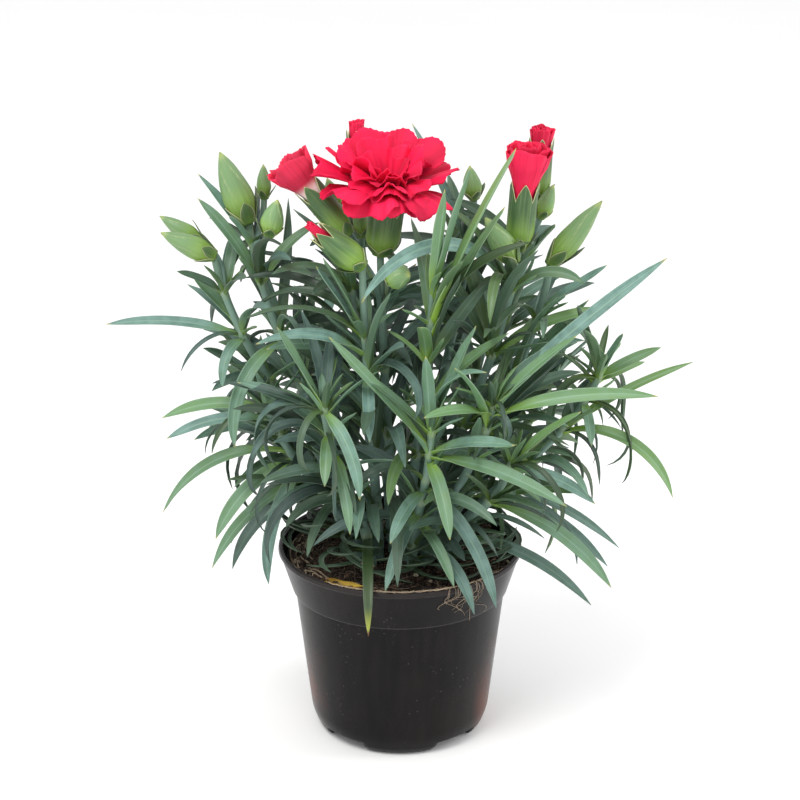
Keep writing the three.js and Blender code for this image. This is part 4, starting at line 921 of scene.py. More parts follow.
def leaf_finish():
    """young is 0 to 1 for a living leaf. From 1.2 to 1.5 the leaf turns old."""
    material, tree, surface = new_finish("waxy blue-green leaf", 0.5)
    along, across = carried(tree, "along"), carried(tree, "across")
    tone, young = carried(tree, "tone"), carried(tree, "young")
    under = carried(tree, "pale")
    root = times(tree, band(tree, along, 0.42, 0.02), band(tree, young, 0.0, 1.0, 0.6, 1.0))
    rib = band(tree, across, 0.16, 0.04, 0.0, 0.55)
    old = band(tree, young, 1.2, 1.5)
    tissue = layered(
        tree, LEAF_DEEP, (young, LEAF_GREEN), (times(tree, under, 0.6), LEAF_UNDER),
        (root, LEAF_YOUNG), (rib, LEAF_RIB), (old, LEAF_OLD),
    )
    amount = band(tree, young, 0.0, 1.0, 0.9, 0.25)
    amount = times(tree, amount, band(tree, along, 0.0, 0.3, 0.15, 1.0))
    amount = times(tree, amount, band(tree, under, 0.0, 1.0, 1.0, 0.55))
    amount = times(tree, amount, band(tree, old, 0.0, 1.0, 1.0, 0.2))
    colour, roughness = wax_over(tree, tissue, LEAF_WAX, amount)
    # Painted highlight: a pale line along the leaf edges.
    colour = layered(tree, colour, (band(tree, across, 0.86, 0.98, 0.0, 0.4), LEAF_EDGE_HIGHLIGHT))
    # The tone darkens or lightens each leaf. It is a random tone per leaf, plus painted shade inside
    # the clump and low down.
    colour = shaded(tree, colour, tone, 0.0, 1.0, 0.28, 1.14)
    tip = times(tree, band(tree, along, 0.955, 1.0), band(tree, tone, 0.55, 0.9))
    yellowed = times(tree, band(tree, along, 0.8, 0.97), old)
    withered = times(tree, band(tree, along, 0.95, 0.985), old)
    ends = (tip, LEAF_TIP), (yellowed, LEAF_YELLOWED), (withered, LEAF_WITHERED)
    paint(tree, surface, layered(tree, colour, *ends), roughness)
    bump(tree, surface, growth_lines(tree, 0.32, 30.0), 0.35, 0.25)
    return material


LEAF = leaf_finish()


# %% Finish: stems
STEM_TISSUE = rgb(92, 124, 104)
STEM_JOINT = rgb(146, 166, 106)
STEM_WAX = rgb(126, 154, 150)
STEM_YOUNG = rgb(132, 160, 92)


def stem_finish():
    material, tree, surface = new_finish("waxy stem", 0.5)
    tissue = layered(tree, STEM_TISSUE, (carried(tree, "pale"), STEM_JOINT))
    colour, roughness = wax_over(tree, tissue, STEM_WAX, 0.75)
    colour = layered(tree, colour, (times(tree, carried(tree, "young"), 0.35), STEM_YOUNG))
    paint(tree, surface, colour, roughness)
    bump(tree, surface, growth_lines(tree, 0.4, 16.0), 0.3, 0.2)
    return material


STEM = stem_finish()


# %% Finish: flower cups, buds and their scales
# Painted shade: cups go from yellow-green at the foot to dark green at the mouth, under the petals.
CUP_LOW = rgb(136, 176, 56)
CUP_HIGH = rgb(54, 92, 40)
CUP_PALE = rgb(226, 228, 172)
CUP_RIB = rgb(150, 178, 108)
CUP_WAX = rgb(134, 162, 138)
BUD_LOW = rgb(136, 174, 62)
BUD_HIGH = rgb(116, 154, 100)
BUD_TIP = rgb(196, 206, 120)


def cup_finish():
    """Values of young above 0.6 are buds, and those below 0.2 are cups."""
    material, tree, surface = new_finish("ribbed green cup", 0.42)
    along, young = carried(tree, "along"), carried(tree, "young")
    # Painted shade: darker towards the mouth of the cup, under the petals.
    cup = layered(tree, CUP_LOW, (band(tree, along, 0.1, 0.7), CUP_HIGH))
    tip = band(tree, along, 0.86, 1.0, 0.0, 0.8)
    bud = layered(tree, BUD_LOW, (band(tree, along, 0.18, 0.62), BUD_HIGH), (tip, BUD_TIP))
    ribs = growth_lines(tree, 0.7, 30.0)
    rib = band(tree, ribs, 0.35, 0.75, 0.0, 0.3)
    tissue = layered(tree, cup, (band(tree, young, 0.2, 0.6), bud), (rib, CUP_RIB))
    colour, roughness = wax_over(tree, tissue, CUP_WAX, 0.14)
    colour = shaded(tree, colour, carried(tree, "tone"), 0.0, 1.0, 0.74, 1.0)
    paint(tree, surface, layered(tree, colour, (carried(tree, "pale"), CUP_PALE)), roughness)
    bump(tree, surface, ribs, 0.4, 0.3)
    return material


CUP = cup_finish()
print("green finishes:", LEAF.name, "/", STEM.name, "/", CUP.name)


# %% [markdown]
# ### Petals
# A carnation petal is velvety: it scatters light instead of mirroring it and glows a little where light
# comes through. Painted shade makes it deepest in its folds and towards its throat. Fine veins fan out
# to the fringed margin. Petals of the half-open flowers are pinker and turn white at their claws.

# %% Finish: petals
PETAL_RED = rgb(236, 20, 76)
PETAL_DEEP = rgb(160, 0, 38)
PETAL_PINK = rgb(252, 72, 104)
PETAL_CLAW = rgb(255, 226, 224)
PETAL_SHEEN = rgb(255, 150, 170)


def petal_finish():
    material, tree, surface = new_finish("velvety crimson petal", 0.62)
    along, tone, young = carried(tree, "along"), carried(tree, "tone"), carried(tree, "young")
    veins = growth_lines(tree, 0.35, 40.0)
    # Painted shade: the petal has the deep colour at its throat and turns red further out, and the tone
    # darkens its folds. The deep colour along the veins is their own.
    colour = layered(
        tree, PETAL_DEEP, (band(tree, along, 0.15, 0.7), PETAL_RED),
        (times(tree, young, 0.6), PETAL_PINK), (band(tree, veins, 0.45, 0.8, 0.0, 0.35), PETAL_DEEP),
    )
    colour = shaded(tree, colour, tone, 0.0, 1.0, 0.6, 1.06)
    claw = times(tree, band(tree, along, 0.42, 0.2), young)
    paint(tree, surface, layered(tree, colour, (claw, PETAL_CLAW)))
    surface.inputs["Subsurface Weight"].default_value = 0.15
    surface.inputs["Subsurface Radius"].default_value = (1.0, 0.25, 0.2)
    surface.inputs["Subsurface Scale"].default_value = 0.0012
    surface.inputs["Sheen Weight"].default_value = 0.06
    surface.inputs["Sheen Roughness"].default_value = 0.4
    surface.inputs["Sheen Tint"].default_value = PETAL_SHEEN
    surface.inputs["Specular IOR Level"].default_value = 0.2
    bump(tree, surface, veins, 0.3, 0.25)
    return material


PETAL = petal_finish()


# %% [markdown]
# ### Pot, compost, straw and the dead leaf
# The pot is thin black plastic from recycled stock, glossy, with flow marks down its wall and dust
# on it. A patchy brown low on its left and right sides is a painted reflection of brown surroundings,
# and its lip, ledge and foot edges carry a painted highlight. Compost is dark peat with brown crumbs
# and a few pale grains, and each crumb takes its colour from its own tone.

# %% Finish: black pot plastic
PLASTIC = rgb(10, 8, 8)
PLASTIC_MARK = rgb(18, 15, 15)
# Painted reflection: a patchy brown low on the pot's left and right sides stands for brown surroundings
# mirrored in the plastic.
BROWN_REFLECTION = rgb(98, 50, 34)
# Painted highlight: a paler grey laid along the pot's edges.
EDGE_HIGHLIGHT = rgb(74, 68, 68)
POT_DUST = rgb(104, 96, 90)
REFLECTION_TOP, REFLECTION_FULL = 0.052, 0.01  # heights in metres
REFLECTION_START, REFLECTION_SIDE = 0.03, 0.038  # metres to the side of the pot's middle


def pot_finish():
    material, tree, surface = new_finish("black pot plastic", 0.3)
    place = own_place(tree)
    drawn = add_node(tree, "ShaderNodeMapping", {"Vector": place, "Scale": (1.0, 1.0, 0.08)})
    flow = noise(tree, drawn.outputs[0], 260.0, 3.0)
    broad = noise(tree, place, 40.0, 4.0)
    dust = dust_over(tree, 2.4, 0.3, 0.03)
    spot = add_node(tree, "ShaderNodeSeparateXYZ", {"Vector": place}).outputs
    # Painted reflection: brown in patches, low on the pot and only towards its left and right.
    low = band(tree, spot["Z"], REFLECTION_TOP, REFLECTION_FULL)
    beside = band(tree, times(tree, spot["X"], 0.0, "ABSOLUTE"), REFLECTION_START, REFLECTION_SIDE)
    film = band(tree, broad, 0.4, 0.6, 0.1, 0.75)
    painted_reflection = times(tree, times(tree, low, beside), film)
    # Painted highlight: the edges that carry pale turn paler grey.
    edge = times(tree, carried(tree, "pale"), 0.5)
    colour = layered(
        tree, PLASTIC, (band(tree, flow, 0.3, 0.7), PLASTIC_MARK), (painted_reflection, BROWN_REFLECTION),
        (edge, EDGE_HIGHLIGHT), (dust, POT_DUST),
    )
    rough = band(tree, broad, 0.3, 0.7, 0.22, 0.32)
    paint(tree, surface, colour, times(tree, rough, dust, "MAXIMUM"))
    surface.inputs["Specular IOR Level"].default_value = 0.15
    bump(tree, surface, flow, 0.12, 0.12)
    return material


POT = pot_finish()


# %% Finish: compost and its crumbs
PEAT = rgb(28, 22, 19)
PEAT_FIBRE = rgb(72, 54, 42)
PALE_GRAIN = rgb(196, 184, 160)
COMPOST_DUST = rgb(140, 116, 92)


def compost_finish():
    """A tone below 0.9 is peat, and a tone near 1 is a pale grain."""
    material, tree, surface = new_finish("dark compost", 0.95)
    fine = noise(tree, own_place(tree), 900.0, 4.0)
    tone = carried(tree, "tone")
    colour = layered(tree, PEAT, (band(tree, tone, 0.0, 0.8), PEAT_FIBRE))
    colour = shaded(tree, colour, fine, 0.3, 0.7, 0.55, 1.25)
    grain = band(tree, tone, 0.94, 0.97)
    dust = dust_over(tree, 2.0, 0.5, 0.12)
    paint(tree, surface, layered(tree, colour, (grain, PALE_GRAIN), (dust, COMPOST_DUST)))
    bump(tree, surface, fine, 0.6, 0.5)
    return material


COMPOST = compost_finish()


# %% Finish: straw and roots, and the dead leaf
def fibre_finish(name, dark, light, line_width):
    material, tree, surface = new_finish(name, 0.75)
    lines = growth_lines(tree, line_width, 9.0)
    colour = layered(tree, dark, (carried(tree, "tone"), light))
    paint(tree, surface, shaded(tree, colour, lines, 0.3, 0.7, 0.7, 1.15))
    bump(tree, surface, lines, 0.5, 0.2)
    return material


STRAW = fibre_finish("straw and roots", rgb(86, 64, 50), rgb(192, 172, 146), 0.2)
DEAD = fibre_finish("dead yellow leaf", rgb(140, 96, 34), rgb(206, 172, 62), 0.5)
print("other finishes:", ", ".join(m.name for m in (PETAL, POT, COMPOST, STRAW, DEAD)))

# %% [markdown]
# ## Meshes from rows of points
# Every piece is built the same way: rows of points are laid out with arrays, joined by four-sided
# faces, and gathered with the values that its finish reads. A thin plate is two grids, one a
# thickness above the other, closed round the edge. A tube is a row of rings with a lid on each end.

# %% Gathering a mesh
class Shape:
    """Points in millimetres, faces with a finish each, and values at the points. Three-sided faces
    are kept with a fourth corner below zero."""

    def __init__(self):
        self.points = []
        self.faces = []
        self.finishes = []
        self.grain = []
        self.values = {name: [] for name in VALUES}
        self.count = 0

    def add(self, points, faces, grain=None, finish=0, **values):
        points = np.asarray(points, float).reshape(-1, 3)
        faces = np.asarray(faces).reshape(-1, np.shape(faces)[-1])
        if faces.shape[1] == 3:
            faces = np.hstack([faces, np.full((len(faces), 1), -1 - self.count)])
        self.points.append(points)
        self.faces.append(faces + self.count)
        self.finishes.append(np.full(len(faces), finish))
        self.grain.append(np.asarray(points if grain is None else grain, float).reshape(-1, 3))
        for name in VALUES:
            value = np.asarray(values.get(name, 0.0), float).reshape(-1)
            self.values[name].append(np.broadcast_to(value, len(points)))
        self.count += len(points)


def make_piece(name, shape, finishes, slot, *nodes):
    """A smooth mesh that rides on the plant's one body and stands for some of its solids."""
    points = np.vstack(shape.points) * MM
    faces = np.vstack(shape.faces)
    sides = (faces >= 0).sum(1)
    mesh = bpy.data.meshes.new(name)
    mesh.vertices.add(len(points))
    mesh.vertices.foreach_set("co", points.ravel())
    mesh.loops.add(int(sides.sum()))
    mesh.loops.foreach_set("vertex_index", faces[faces >= 0])
    mesh.polygons.add(len(faces))
    mesh.polygons.foreach_set("loop_start", np.cumsum(sides) - sides)
    mesh.polygons.foreach_set("material_index", np.concatenate(shape.finishes))
    for label in VALUES:
        values = mesh.attributes.new(label, "FLOAT", "POINT")
        values.data.foreach_set("value", np.concatenate(shape.values[label]).astype(np.float32))
    grain = mesh.attributes.new("grain", "FLOAT_VECTOR", "POINT")
    grain.data.foreach_set("vector", np.vstack(shape.grain).astype(np.float32).ravel())
    for finish in finishes:
        mesh.materials.append(finish)
    mesh.update(calc_edges=True)
    mesh.shade_smooth()
    piece = new_object(name, mesh)
    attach(piece, "root")
    if nodes:
        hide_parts(*nodes)
    return piece


# %% Plates, tubes and profiles
def full_turn(count):
    """Angles in even steps round a circle."""
    return np.linspace(0, 2 * math.pi, count, endpoint=False)


def row_faces(rows, columns, wide):
    """Four-sided faces between rows of points, where each row holds so many points."""
    row, column = np.meshgrid(np.arange(rows), np.arange(columns), indexing="ij")
    low, high, beside = row * wide, (row + 1) * wide, (column + 1) % wide
    return np.stack([low + column, low + beside, high + beside, high + column], -1).reshape(-1, 4)


def rim_of(rows, columns):
    """The points round the edge of a grid, in order."""
    wide = columns + 1
    front = np.arange(columns)
    right = np.arange(rows) * wide + columns
    back = rows * wide + np.arange(columns, 0, -1)
    left = np.arange(rows, 0, -1) * wide
    return np.concatenate([front, right, back, left])


def add_plate(shape, grid, thick, grain, finish=0, **values):
    """A thin closed plate whose middle is the grid."""
    rows, columns = grid.shape[0] - 1, grid.shape[1] - 1
    down, over = np.gradient(grid, axis=0), np.gradient(grid, axis=1)
    normal = np.cross(over, down)
    normal /= np.linalg.norm(normal, axis=-1, keepdims=True) + 1e-9
    half = 0.5 * np.broadcast_to(thick, grid.shape[:2])[..., None] * normal
    points = np.concatenate([(grid + half).reshape(-1, 3), (grid - half).reshape(-1, 3)])
    top = row_faces(rows, columns, columns + 1)
    size = (rows + 1) * (columns + 1)
    rim = rim_of(rows, columns)
    following = np.roll(rim, -1)
    edge = np.stack([rim + size, following + size, following, rim], -1)
    faces = np.concatenate([top, top[:, ::-1] + size, edge])
    for name, value in values.items():
        values[name] = np.tile(np.broadcast_to(value, grid.shape[:2]).ravel(), 2)
    grain = np.tile(grain.reshape(-1, 3), (2, 1))
    shape.add(points, faces, grain, finish, **values)


def add_tube(shape, rings, grain=None, finish=0, turned_in=False, **values):
    """Rings of points joined to a tube, with both ends closed by strips of faces."""
    count, around = rings.shape[:2]
    k = np.arange(around // 2 - 1)[:, None]
    strip = np.hstack([k, k + 1, around - 2 - k, around - 1 - k])
    lids = np.stack([strip[:, ::-1], strip + (count - 1) * around], 1).reshape(-1, 4)
    faces = np.concatenate([row_faces(count - 1, around, around), lids])
    for name, value in values.items():
        values[name] = np.broadcast_to(value, (count, around))
    shape.add(rings, faces[:, ::-1] if turned_in else faces, grain, finish, **values)


def distances(points):
    """How far along a row of points each of them lies."""
    return np.concatenate([[0], np.cumsum(np.linalg.norm(np.diff(points, axis=0), axis=1))])


def round_rings(points, ways, radii, turn):
    """Rings of points square to the ways, round each point of a line."""
    sides = side_of(ways)
    across = np.cross(ways, sides)
    out = sides[:, None] * np.cos(turn)[:, None] + across[:, None] * np.sin(turn)[:, None]
    return points[:, None] + radii[:, None, None] * out


def grid_shares(rows, columns):
    """Shares up a grid, from 0 to 1, and across it, from -1 to 1."""
    return np.linspace(0, 1, rows + 1)[:, None], np.linspace(-1, 1, columns + 1)[None]


def smooth_profile(knots, at):
    """A curve through (place, value) knots with no overshoot, read at any places."""
    x, y = np.array(knots, float).T
    slope = np.diff(y) / np.diff(x)
    tilt = np.concatenate([[slope[0]], (slope[1:] + slope[:-1]) / 2, [slope[-1]]])
    tilt[1:-1][slope[1:] * slope[:-1] <= 0] = 0
    k = np.clip(np.searchsorted(x, at, side="right") - 1, 0, len(x) - 2)
    width = x[k + 1] - x[k]
    t = (np.asarray(at, float) - x[k]) / width
    one = (1 + 2 * t) * (1 - t) ** 2 * y[k] + t * (1 - t) ** 2 * width * tilt[k]
    return one + t * t * (3 - 2 * t) * y[k + 1] + t * t * (t - 1) * width * tilt[k + 1]


# %% [markdown]
# ## One strap leaf
# Across, a carnation leaf is a shallow channel with a keel below it, deeper and narrower where it
# clasps the stem. It has a blunt rib, thin edges with a slight ripple, and a fine point. Each row of
# points is a closed loop round that section.

# %% Leaf mesh
LEAF_EDGE = 0.25  # thickness at the edge, in millimetres
LEAF_MIDDLE = 0.35  # how much thicker the middle is
LEAF_KEEL = 0.45
LEAF_RIPPLE = 0.22
LEAF_HALF = 0.43  # half a leaf's width, as a share of its solid's, which is a little broader
LEAF_CURL = 0.62  # radians from its middle line to its edge
ROOT_CURL = 0.8  # how much more it is curled where it clasps the stem
POINTS_ACROSS = 9


def drawn_half(width, s):
    """The solid's half width, with straighter sides and a shorter point."""
    root = np.clip(s / 0.24, 0, 1)
    root = 0.58 + 0.42 * root * root * (3 - 2 * root)
    tip = 1 - np.clip((s - WIDEST) / (1 - WIDEST), 0, 1) ** 4
    return LEAF_HALF * width * root * tip


def add_leaf(shape, blade, tone, young, ripple, rows, depth):
    s, points, _, across, normal = walk(blade, rows)
    half = np.maximum(drawn_half(blade["width"], s), 0.12)
    u = np.linspace(1, -1, POINTS_ACROSS)
    curl = (LEAF_CURL + ROOT_CURL * np.exp(-s / 0.1))[:, None]
    radius = half[:, None] / curl
    sideways = radius * np.sin(u * curl)
    hollow = radius * (np.cos(curl) - np.cos(u * curl))
    wave = np.sin(s[:, None] * 9 + ripple + 1.5 * np.sign(u)) * u * u
    hollow = hollow + LEAF_RIPPLE * wave * np.minimum(1, half[:, None] / 2)
    thick = LEAF_EDGE + LEAF_MIDDLE * (1 - np.abs(u))
    thick = thick + LEAF_KEEL * (1 - 0.6 * s[:, None]) * np.exp(-((u / 0.2) ** 2))
    thick = thick * depth * np.minimum(1, half / 0.8)[:, None]
    base = points[:, None]
    upper = base + sideways[..., None] * across[:, None] + hollow[..., None] * normal[:, None]
    lower = upper - thick[..., None] * normal[:, None]
    rings = np.concatenate([upper, lower[:, ::-1]], 1)
    both = np.concatenate([u, -u])
    lengths = (s * blade["length"])[:, None]
    grain = stacked(both * half[:, None], lengths, 37.0 * tone + 11.0 * ripple)
    under = np.repeat([0.0, 1.0], POINTS_ACROSS)
    add_tube(shape, rings, grain, turned_in=True, along=s[:, None], across=np.abs(both),
             tone=tone, young=young, pale=under)


# %% [markdown]
# ## Young leaves at the joints and tips
# Carnation stems carry small young leaves too: a closed tuft at the end of every shoot, and short
# pairs in the angle between old leaf and stem. They are too small for the solids, so they are grown
# here, by the same test that keeps leaves apart.

# %% More leaves
more = Draws(4177)
TUFT_CLEARANCE = 0.2
TUFT_TRIES = 5


def young_blade(place, heading, lean, length, width):
    """A short leaf that leaves the stem at a small angle and bends outwards."""
    return dict(
        root=place, heading=heading + more(-0.35, 0.35),
        rise=(90 - lean * more(0.7, 1.3)) * DEGREE, droop=more(5, 45) * DEGREE,
        side=more(-0.3, 0.3), twist=more(-0.5, 0.5), length=length * more(0.8, 1.2), width=width,
    )


placed = leaves_so_far()
for stem in STEMS:
    stem["exact"] = len(stem["blades"])
    # Each spot: the place on the stem, then the lean, length, width and heading of its leaves.
    spots = []
    if not stem["heads"]:
        for pair in range(4):
            spots.append((1 - 0.02 * (3 - pair), 30 - 7 * pair, 26 - 5 * pair, 3.8, pair * 1.6))
    for k, along in enumerate(stem["joint_places"]):
        spots.append((along, 38, 20, 3.2, 0.8 + k * math.pi / 2))
        if k < 3:
            spots.append((along + 0.01, 52, 30, 4.0, 2.4 + k * math.pi / 2))
    for along, lean, length, width, turn in spots:
        place = bezier(stem["curve"], min(1, along))
        for heading in (turn, turn + math.pi):
            settle(stem, lambda attempt: young_blade(place, heading, lean, length, width),
                   TUFT_TRIES, REACH, DEPTH_REACH, TUFT_CLEARANCE)
print(leaves_so_far() - placed, "young leaves added")

# %% [markdown]
# ## The thick of the clump
# Between the stems the clump is so full of broad leaves that hardly any light comes through. One in
# six is made to curl over on itself. They stay within the outline, so the rule that places them
# allows them to touch, and most are shorter than those outside.

# %% Inner leaves
INNER_REACH = 76
INNER_DEPTH = 42
INNER_CLEARANCE = -0.8
INNER_TRIES = 8
INNER_LENGTHS = (42, 74)
INNER_WIDTHS = (4.4, 6.8)
LEAVES_AT_A_SPOT = 6
SPOT_HEIGHTS = (101, 212)


def inner_blade(place, curls):
    """A broad leaf with any heading. One that curls bends over on itself."""
    heading = more(0, 2 * math.pi)
    return dict(
        root=place, heading=heading, turned=0.7 * math.cos(heading), rise=more(30, 82) * DEGREE,
        droop=(more(110, 210) if curls else more(20, 100)) * DEGREE,
        side=more(-0.7, 0.7), twist=more(-0.8, 0.8),
        length=more(*INNER_LENGTHS) * min(1, (250 - place[2]) / 75), width=more(*INNER_WIDTHS),
    )


placed = leaves_so_far()
for stem in STEMS:
    stem["small"] = len(stem["blades"])
    for along in stem["joint_places"]:
        place = bezier(stem["curve"], along)
        if not SPOT_HEIGHTS[0] < place[2] < SPOT_HEIGHTS[1]:
            continue
        for k in range(LEAVES_AT_A_SPOT):
            settle(stem, lambda attempt: inner_blade(place, k == 0),
                   INNER_TRIES, INNER_REACH, INNER_DEPTH, INNER_CLEARANCE)
print(leaves_so_far() - placed, "inner leaves added")

# %% [markdown]
# ## Thin curls
# Starved leaves round the outside of the clump stay narrow and roll up, some almost to a ring. The
# lowest ones run out over the compost and bend round along the rim of the pot.

# %% Curled leaves
CURL_REACH = 96
CURLS_AT_A_SPOT = 2
CURL_TRIES = 6
CURLS_FROM = 24  # millimetres to the side of the middle
CURLS_BELOW = 190
LOOPS_AT = 0.35  # share of the way up to a stem's first joint
LOOPS_BEFORE = 4  # depth in front of which a stem has loops
LOOP_REACH = 56
LOOP_DEPTH = 49
LOOPS_AT_A_STEM = 3
LOOP_TRIES = 40
LOOP_CLEARANCE = -0.6  # loops may lie against other leaves


def curled_blade(place):
    outward = math.atan2(place[1], place[0])
    return dict(
        root=place, heading=outward + more(-1.0, 1.0), rise=more(10, 60) * DEGREE,
        droop=more(60, 210) * DEGREE, side=more(-1.2, 1.2), twist=more(-1.5, 1.5),
        length=more(30, 56), width=more(2.0, 3.6),
    )


def looped_blade(place):
    outward = math.atan2(place[1], place[0])
    way = 1 if loops(0, 1) < 0.5 else -1
    return dict(
        root=place, heading=outward - way * loops(0.2, 1.2), rise=loops(-20, 25) * DEGREE,
        droop=loops(0, 50) * DEGREE, side=way * loops(1.8, 3.6), twist=loops(-0.5, 0.5),
        length=loops(42, 70), width=loops(2.2, 3.6), young=0.55,
    )


loops = Draws(8236)
placed = leaves_so_far()
for stem in STEMS:
    stem["inner"] = len(stem["blades"])
    low = bezier(stem["curve"], LOOPS_AT * stem["joint_places"][0])
    if low[1] < LOOPS_BEFORE:
        for _ in range(LOOPS_AT_A_STEM):
            settle(stem, lambda attempt: looped_blade(low),
                   LOOP_TRIES, LOOP_REACH, LOOP_DEPTH, LOOP_CLEARANCE)
print(leaves_so_far() - placed, "loops added")
for stem in STEMS:
    for along in stem["joint_places"]:
        place = bezier(stem["curve"], along)
        if abs(place[0]) < CURLS_FROM or place[2] > CURLS_BELOW:
            continue
        for _ in range(CURLS_AT_A_SPOT):
            settle(stem, lambda attempt: curled_blade(place), CURL_TRIES, CURL_REACH, DEPTH_REACH, 0.0)
print(leaves_so_far() - placed, "loops and curled leaves in all")

# %% [markdown]
# ## Stems
# A carnation stem is round and smooth, and swells at each joint where the bases of a leaf pair wrap
# it. The swelling is short below the joint and long above it, and yellow-green.

# %% Stem mesh
JOINT_SWELLING = 0.2
SWELLING_BELOW, SWELLING_ABOVE = 1.1, 3.2
STALK_RADIUS = 1.35
STEM_AROUND = 14
STEM_STEPS = 72
STALK_STEPS = 16


def add_stem(shape, curve, radii, joints, steps, seed, foot=None):
    """A round stem along a curve, swollen at its joints."""
    along = np.linspace(0, 1, steps)
    points = bezier(curve, along)
    ways = tangent(curve, along)
    if foot is not None:
        points = np.vstack([[*foot, STEM_FOOT], points])
        ways = np.vstack([UP, ways])
        along = np.concatenate([[-0.001], along])
    travelled = distances(points)
    radius = radii[0] + (radii[1] - radii[0]) * np.clip(along, 0, 1)
    swell = np.zeros_like(radius)
    for place in joints:
        gap = travelled - np.interp(place, along, travelled)
        reach = np.where(gap < 0, SWELLING_BELOW, SWELLING_ABOVE)
        swell = np.maximum(swell, np.exp(-((gap / reach) ** 2)))
    radius = radius * (1 + JOINT_SWELLING * swell)
    turn = full_turn(STEM_AROUND)
    rings = round_rings(points, ways, radius, turn)
    grain = stacked(turn * radii[0], travelled[:, None], 13.0 * seed)
    up = np.clip(along, 0, 1)[:, None]
    add_tube(shape, rings, grain, 1, along=up, pale=swell[:, None], young=up ** 3 * 0.5)


# %% [markdown]
# ## Buds and cups
# The green cup of a carnation is five sepals grown together into a ribbed tube. Their tips part into
# pointed teeth round an open flower, and stay twisted over each other on a bud. Two pairs of small
# pointed scales hug the foot of each.

# %% Buds
CUP_WALL = 0.9
CUP_DEPTH = 5
GAP = 0.3
CUP_SIDES = 10
SEPALS = 5
TOOTH = 0.15
BUD_PROFILE = [[0, 0.42], [0.12, 0.72], [0.33, 1], [0.52, 0.88], [0.72, 0.62], [0.9, 0.27], [1, 0.03]]
BUD_SCALES = 0.42  # their length as a share of the bud's
CUP_SCALES = 0.34
BUD_ROWS = 26
HEAD_AROUND = 70


def around_head(head, heights, radii, turns):
    """Points round the axis of a bud or cup, from heights, radii and turns that fit each other."""
    base, axis, _, side, across = head_frame(head)
    heights, radii, turns = np.broadcast_arrays(heights, radii, turns)
    out = np.cos(turns)[..., None] * side + np.sin(turns)[..., None] * across
    return base + heights[..., None] * axis + radii[..., None] * out


def add_scales(shape, head, radius_at, long, tone):
    """Two pairs of pointed scales at the foot of a bud or cup, close on its surface."""
    length = head_frame(head)[2]
    v, u = grid_shares(10, 8)
    for k in range(4):
        outer = k < 2
        reach = long * (1 if outer else 0.75) * length
        span = (0.62 if outer else 0.95) * (1 - v ** 1.6) + 0.01
        turn = k * math.pi / 2 + 0.5 + 3 * tone + u * span
        height = -0.4 + reach * v
        wall = radius_at(np.clip(height / length, 0, 1))
        lift = 0.3 + (0.25 + 1.6 * v ** 2.5 if outer else 0.2 * v)
        grid = around_head(head, height, wall + lift, turn)
        grain = stacked(u * 3, v * reach, 7.0 * k + tone)
        edge = (0.1 if outer else 0.5) * np.abs(u) ** 8
        add_plate(shape, grid[:, ::-1], 0.3, grain, 2, along=0.3 + 0.6 * v,
                  tone=0.1 * tone if outer else tone, young=0, pale=edge)


def add_bud(shape, head, tone, young):
    length = head_frame(head)[2]
    s = np.linspace(0, 1, BUD_ROWS)[:, None]
    turn = full_turn(HEAD_AROUND)[None]

    def radius_at(share):
        return head.radius * smooth_profile(BUD_PROFILE, share)

    place = (SEPALS * (turn + 1.1 * s ** 2) / (2 * math.pi)) % 1
    parting = np.clip((s - 0.3) / 0.3, 0, 1) * np.clip((1 - s) / 0.12, 0, 1)
    step = 0.06 * head.radius * (1 - place) * parting
    rib = 0.02 * head.radius * np.cos(3 * SEPALS * turn) * (1 - parting)
    radii = radius_at(s) * (1 + 0 * turn) + step + rib
    rings = around_head(head, s * length, radii, turn)
    grain = stacked(turn * head.radius, s * length, 5.0 + 31 * tone)
    pale = 0.32 * np.clip(1 - 9 * place, 0, 1) * parting
    add_tube(shape, rings, grain, 2, along=s, pale=pale, tone=tone, young=young)
    add_scales(shape, head, radius_at, BUD_SCALES, tone)


# %% Toothed cups
def add_cup(shape, head, tone):
    """The outer wall up to the teeth, over them, down the inner wall and across the seat."""
    length = head_frame(head)[2]
    mouth = head.radius * head.mouth
    turn = full_turn(HEAD_AROUND)[None]
    knots = [[0, 0.42 * head.radius], [0.12, 0.74 * head.radius], [0.35, head.radius], [1.2, mouth]]

    def radius_at(share):
        return smooth_profile(knots, share)

    place = np.abs((SEPALS * turn / (2 * math.pi) + 0.5) % 1 - 0.5) * 2
    rim = length * (1 + TOOTH * (1 - 2 * (0.5 * place + 0.5 * place ** 2)))
    s = np.concatenate([np.linspace(0, 0.96, 20), [0.983, 1]])[:, None]
    height = s * rim
    seam = 0.025 * head.radius * np.cos(SEPALS * turn + math.pi) * np.clip(s * 2 - 0.6, 0, 1)
    rib = 0.012 * head.radius * np.cos(5 * SEPALS * turn)
    outer = radius_at(np.clip(height / length, 0, 1.15)) + rib + seam
    outer = outer + 0.5 * (1 - place) * np.clip(s * 4 - 3, 0, 1) ** 2
    seat = np.full_like(rim, length - CUP_DEPTH), np.full_like(rim, mouth - CUP_WALL + 0.15)
    heights = np.vstack([height, rim, rim - 1.8, seat[0]])
    radii = np.vstack([outer, outer[-1:] - 0.28, outer[-1:] - 0.5, seat[1]])
    along = np.concatenate([s[:, 0], [1, 0.9, 0.6]])[:, None]
    edge = np.clip(1 - (rim - heights) / 0.5, 0, 1) * 0.8
    edge[-1] = 0
    grain = stacked(turn * head.radius, heights, 3.0 + 17 * tone)
    rings = around_head(head, heights, radii, turn)
    add_tube(shape, rings, grain, 2, along=along, pale=edge, tone=tone, young=0.15)
    add_scales(shape, head, radius_at, CUP_SCALES, tone)


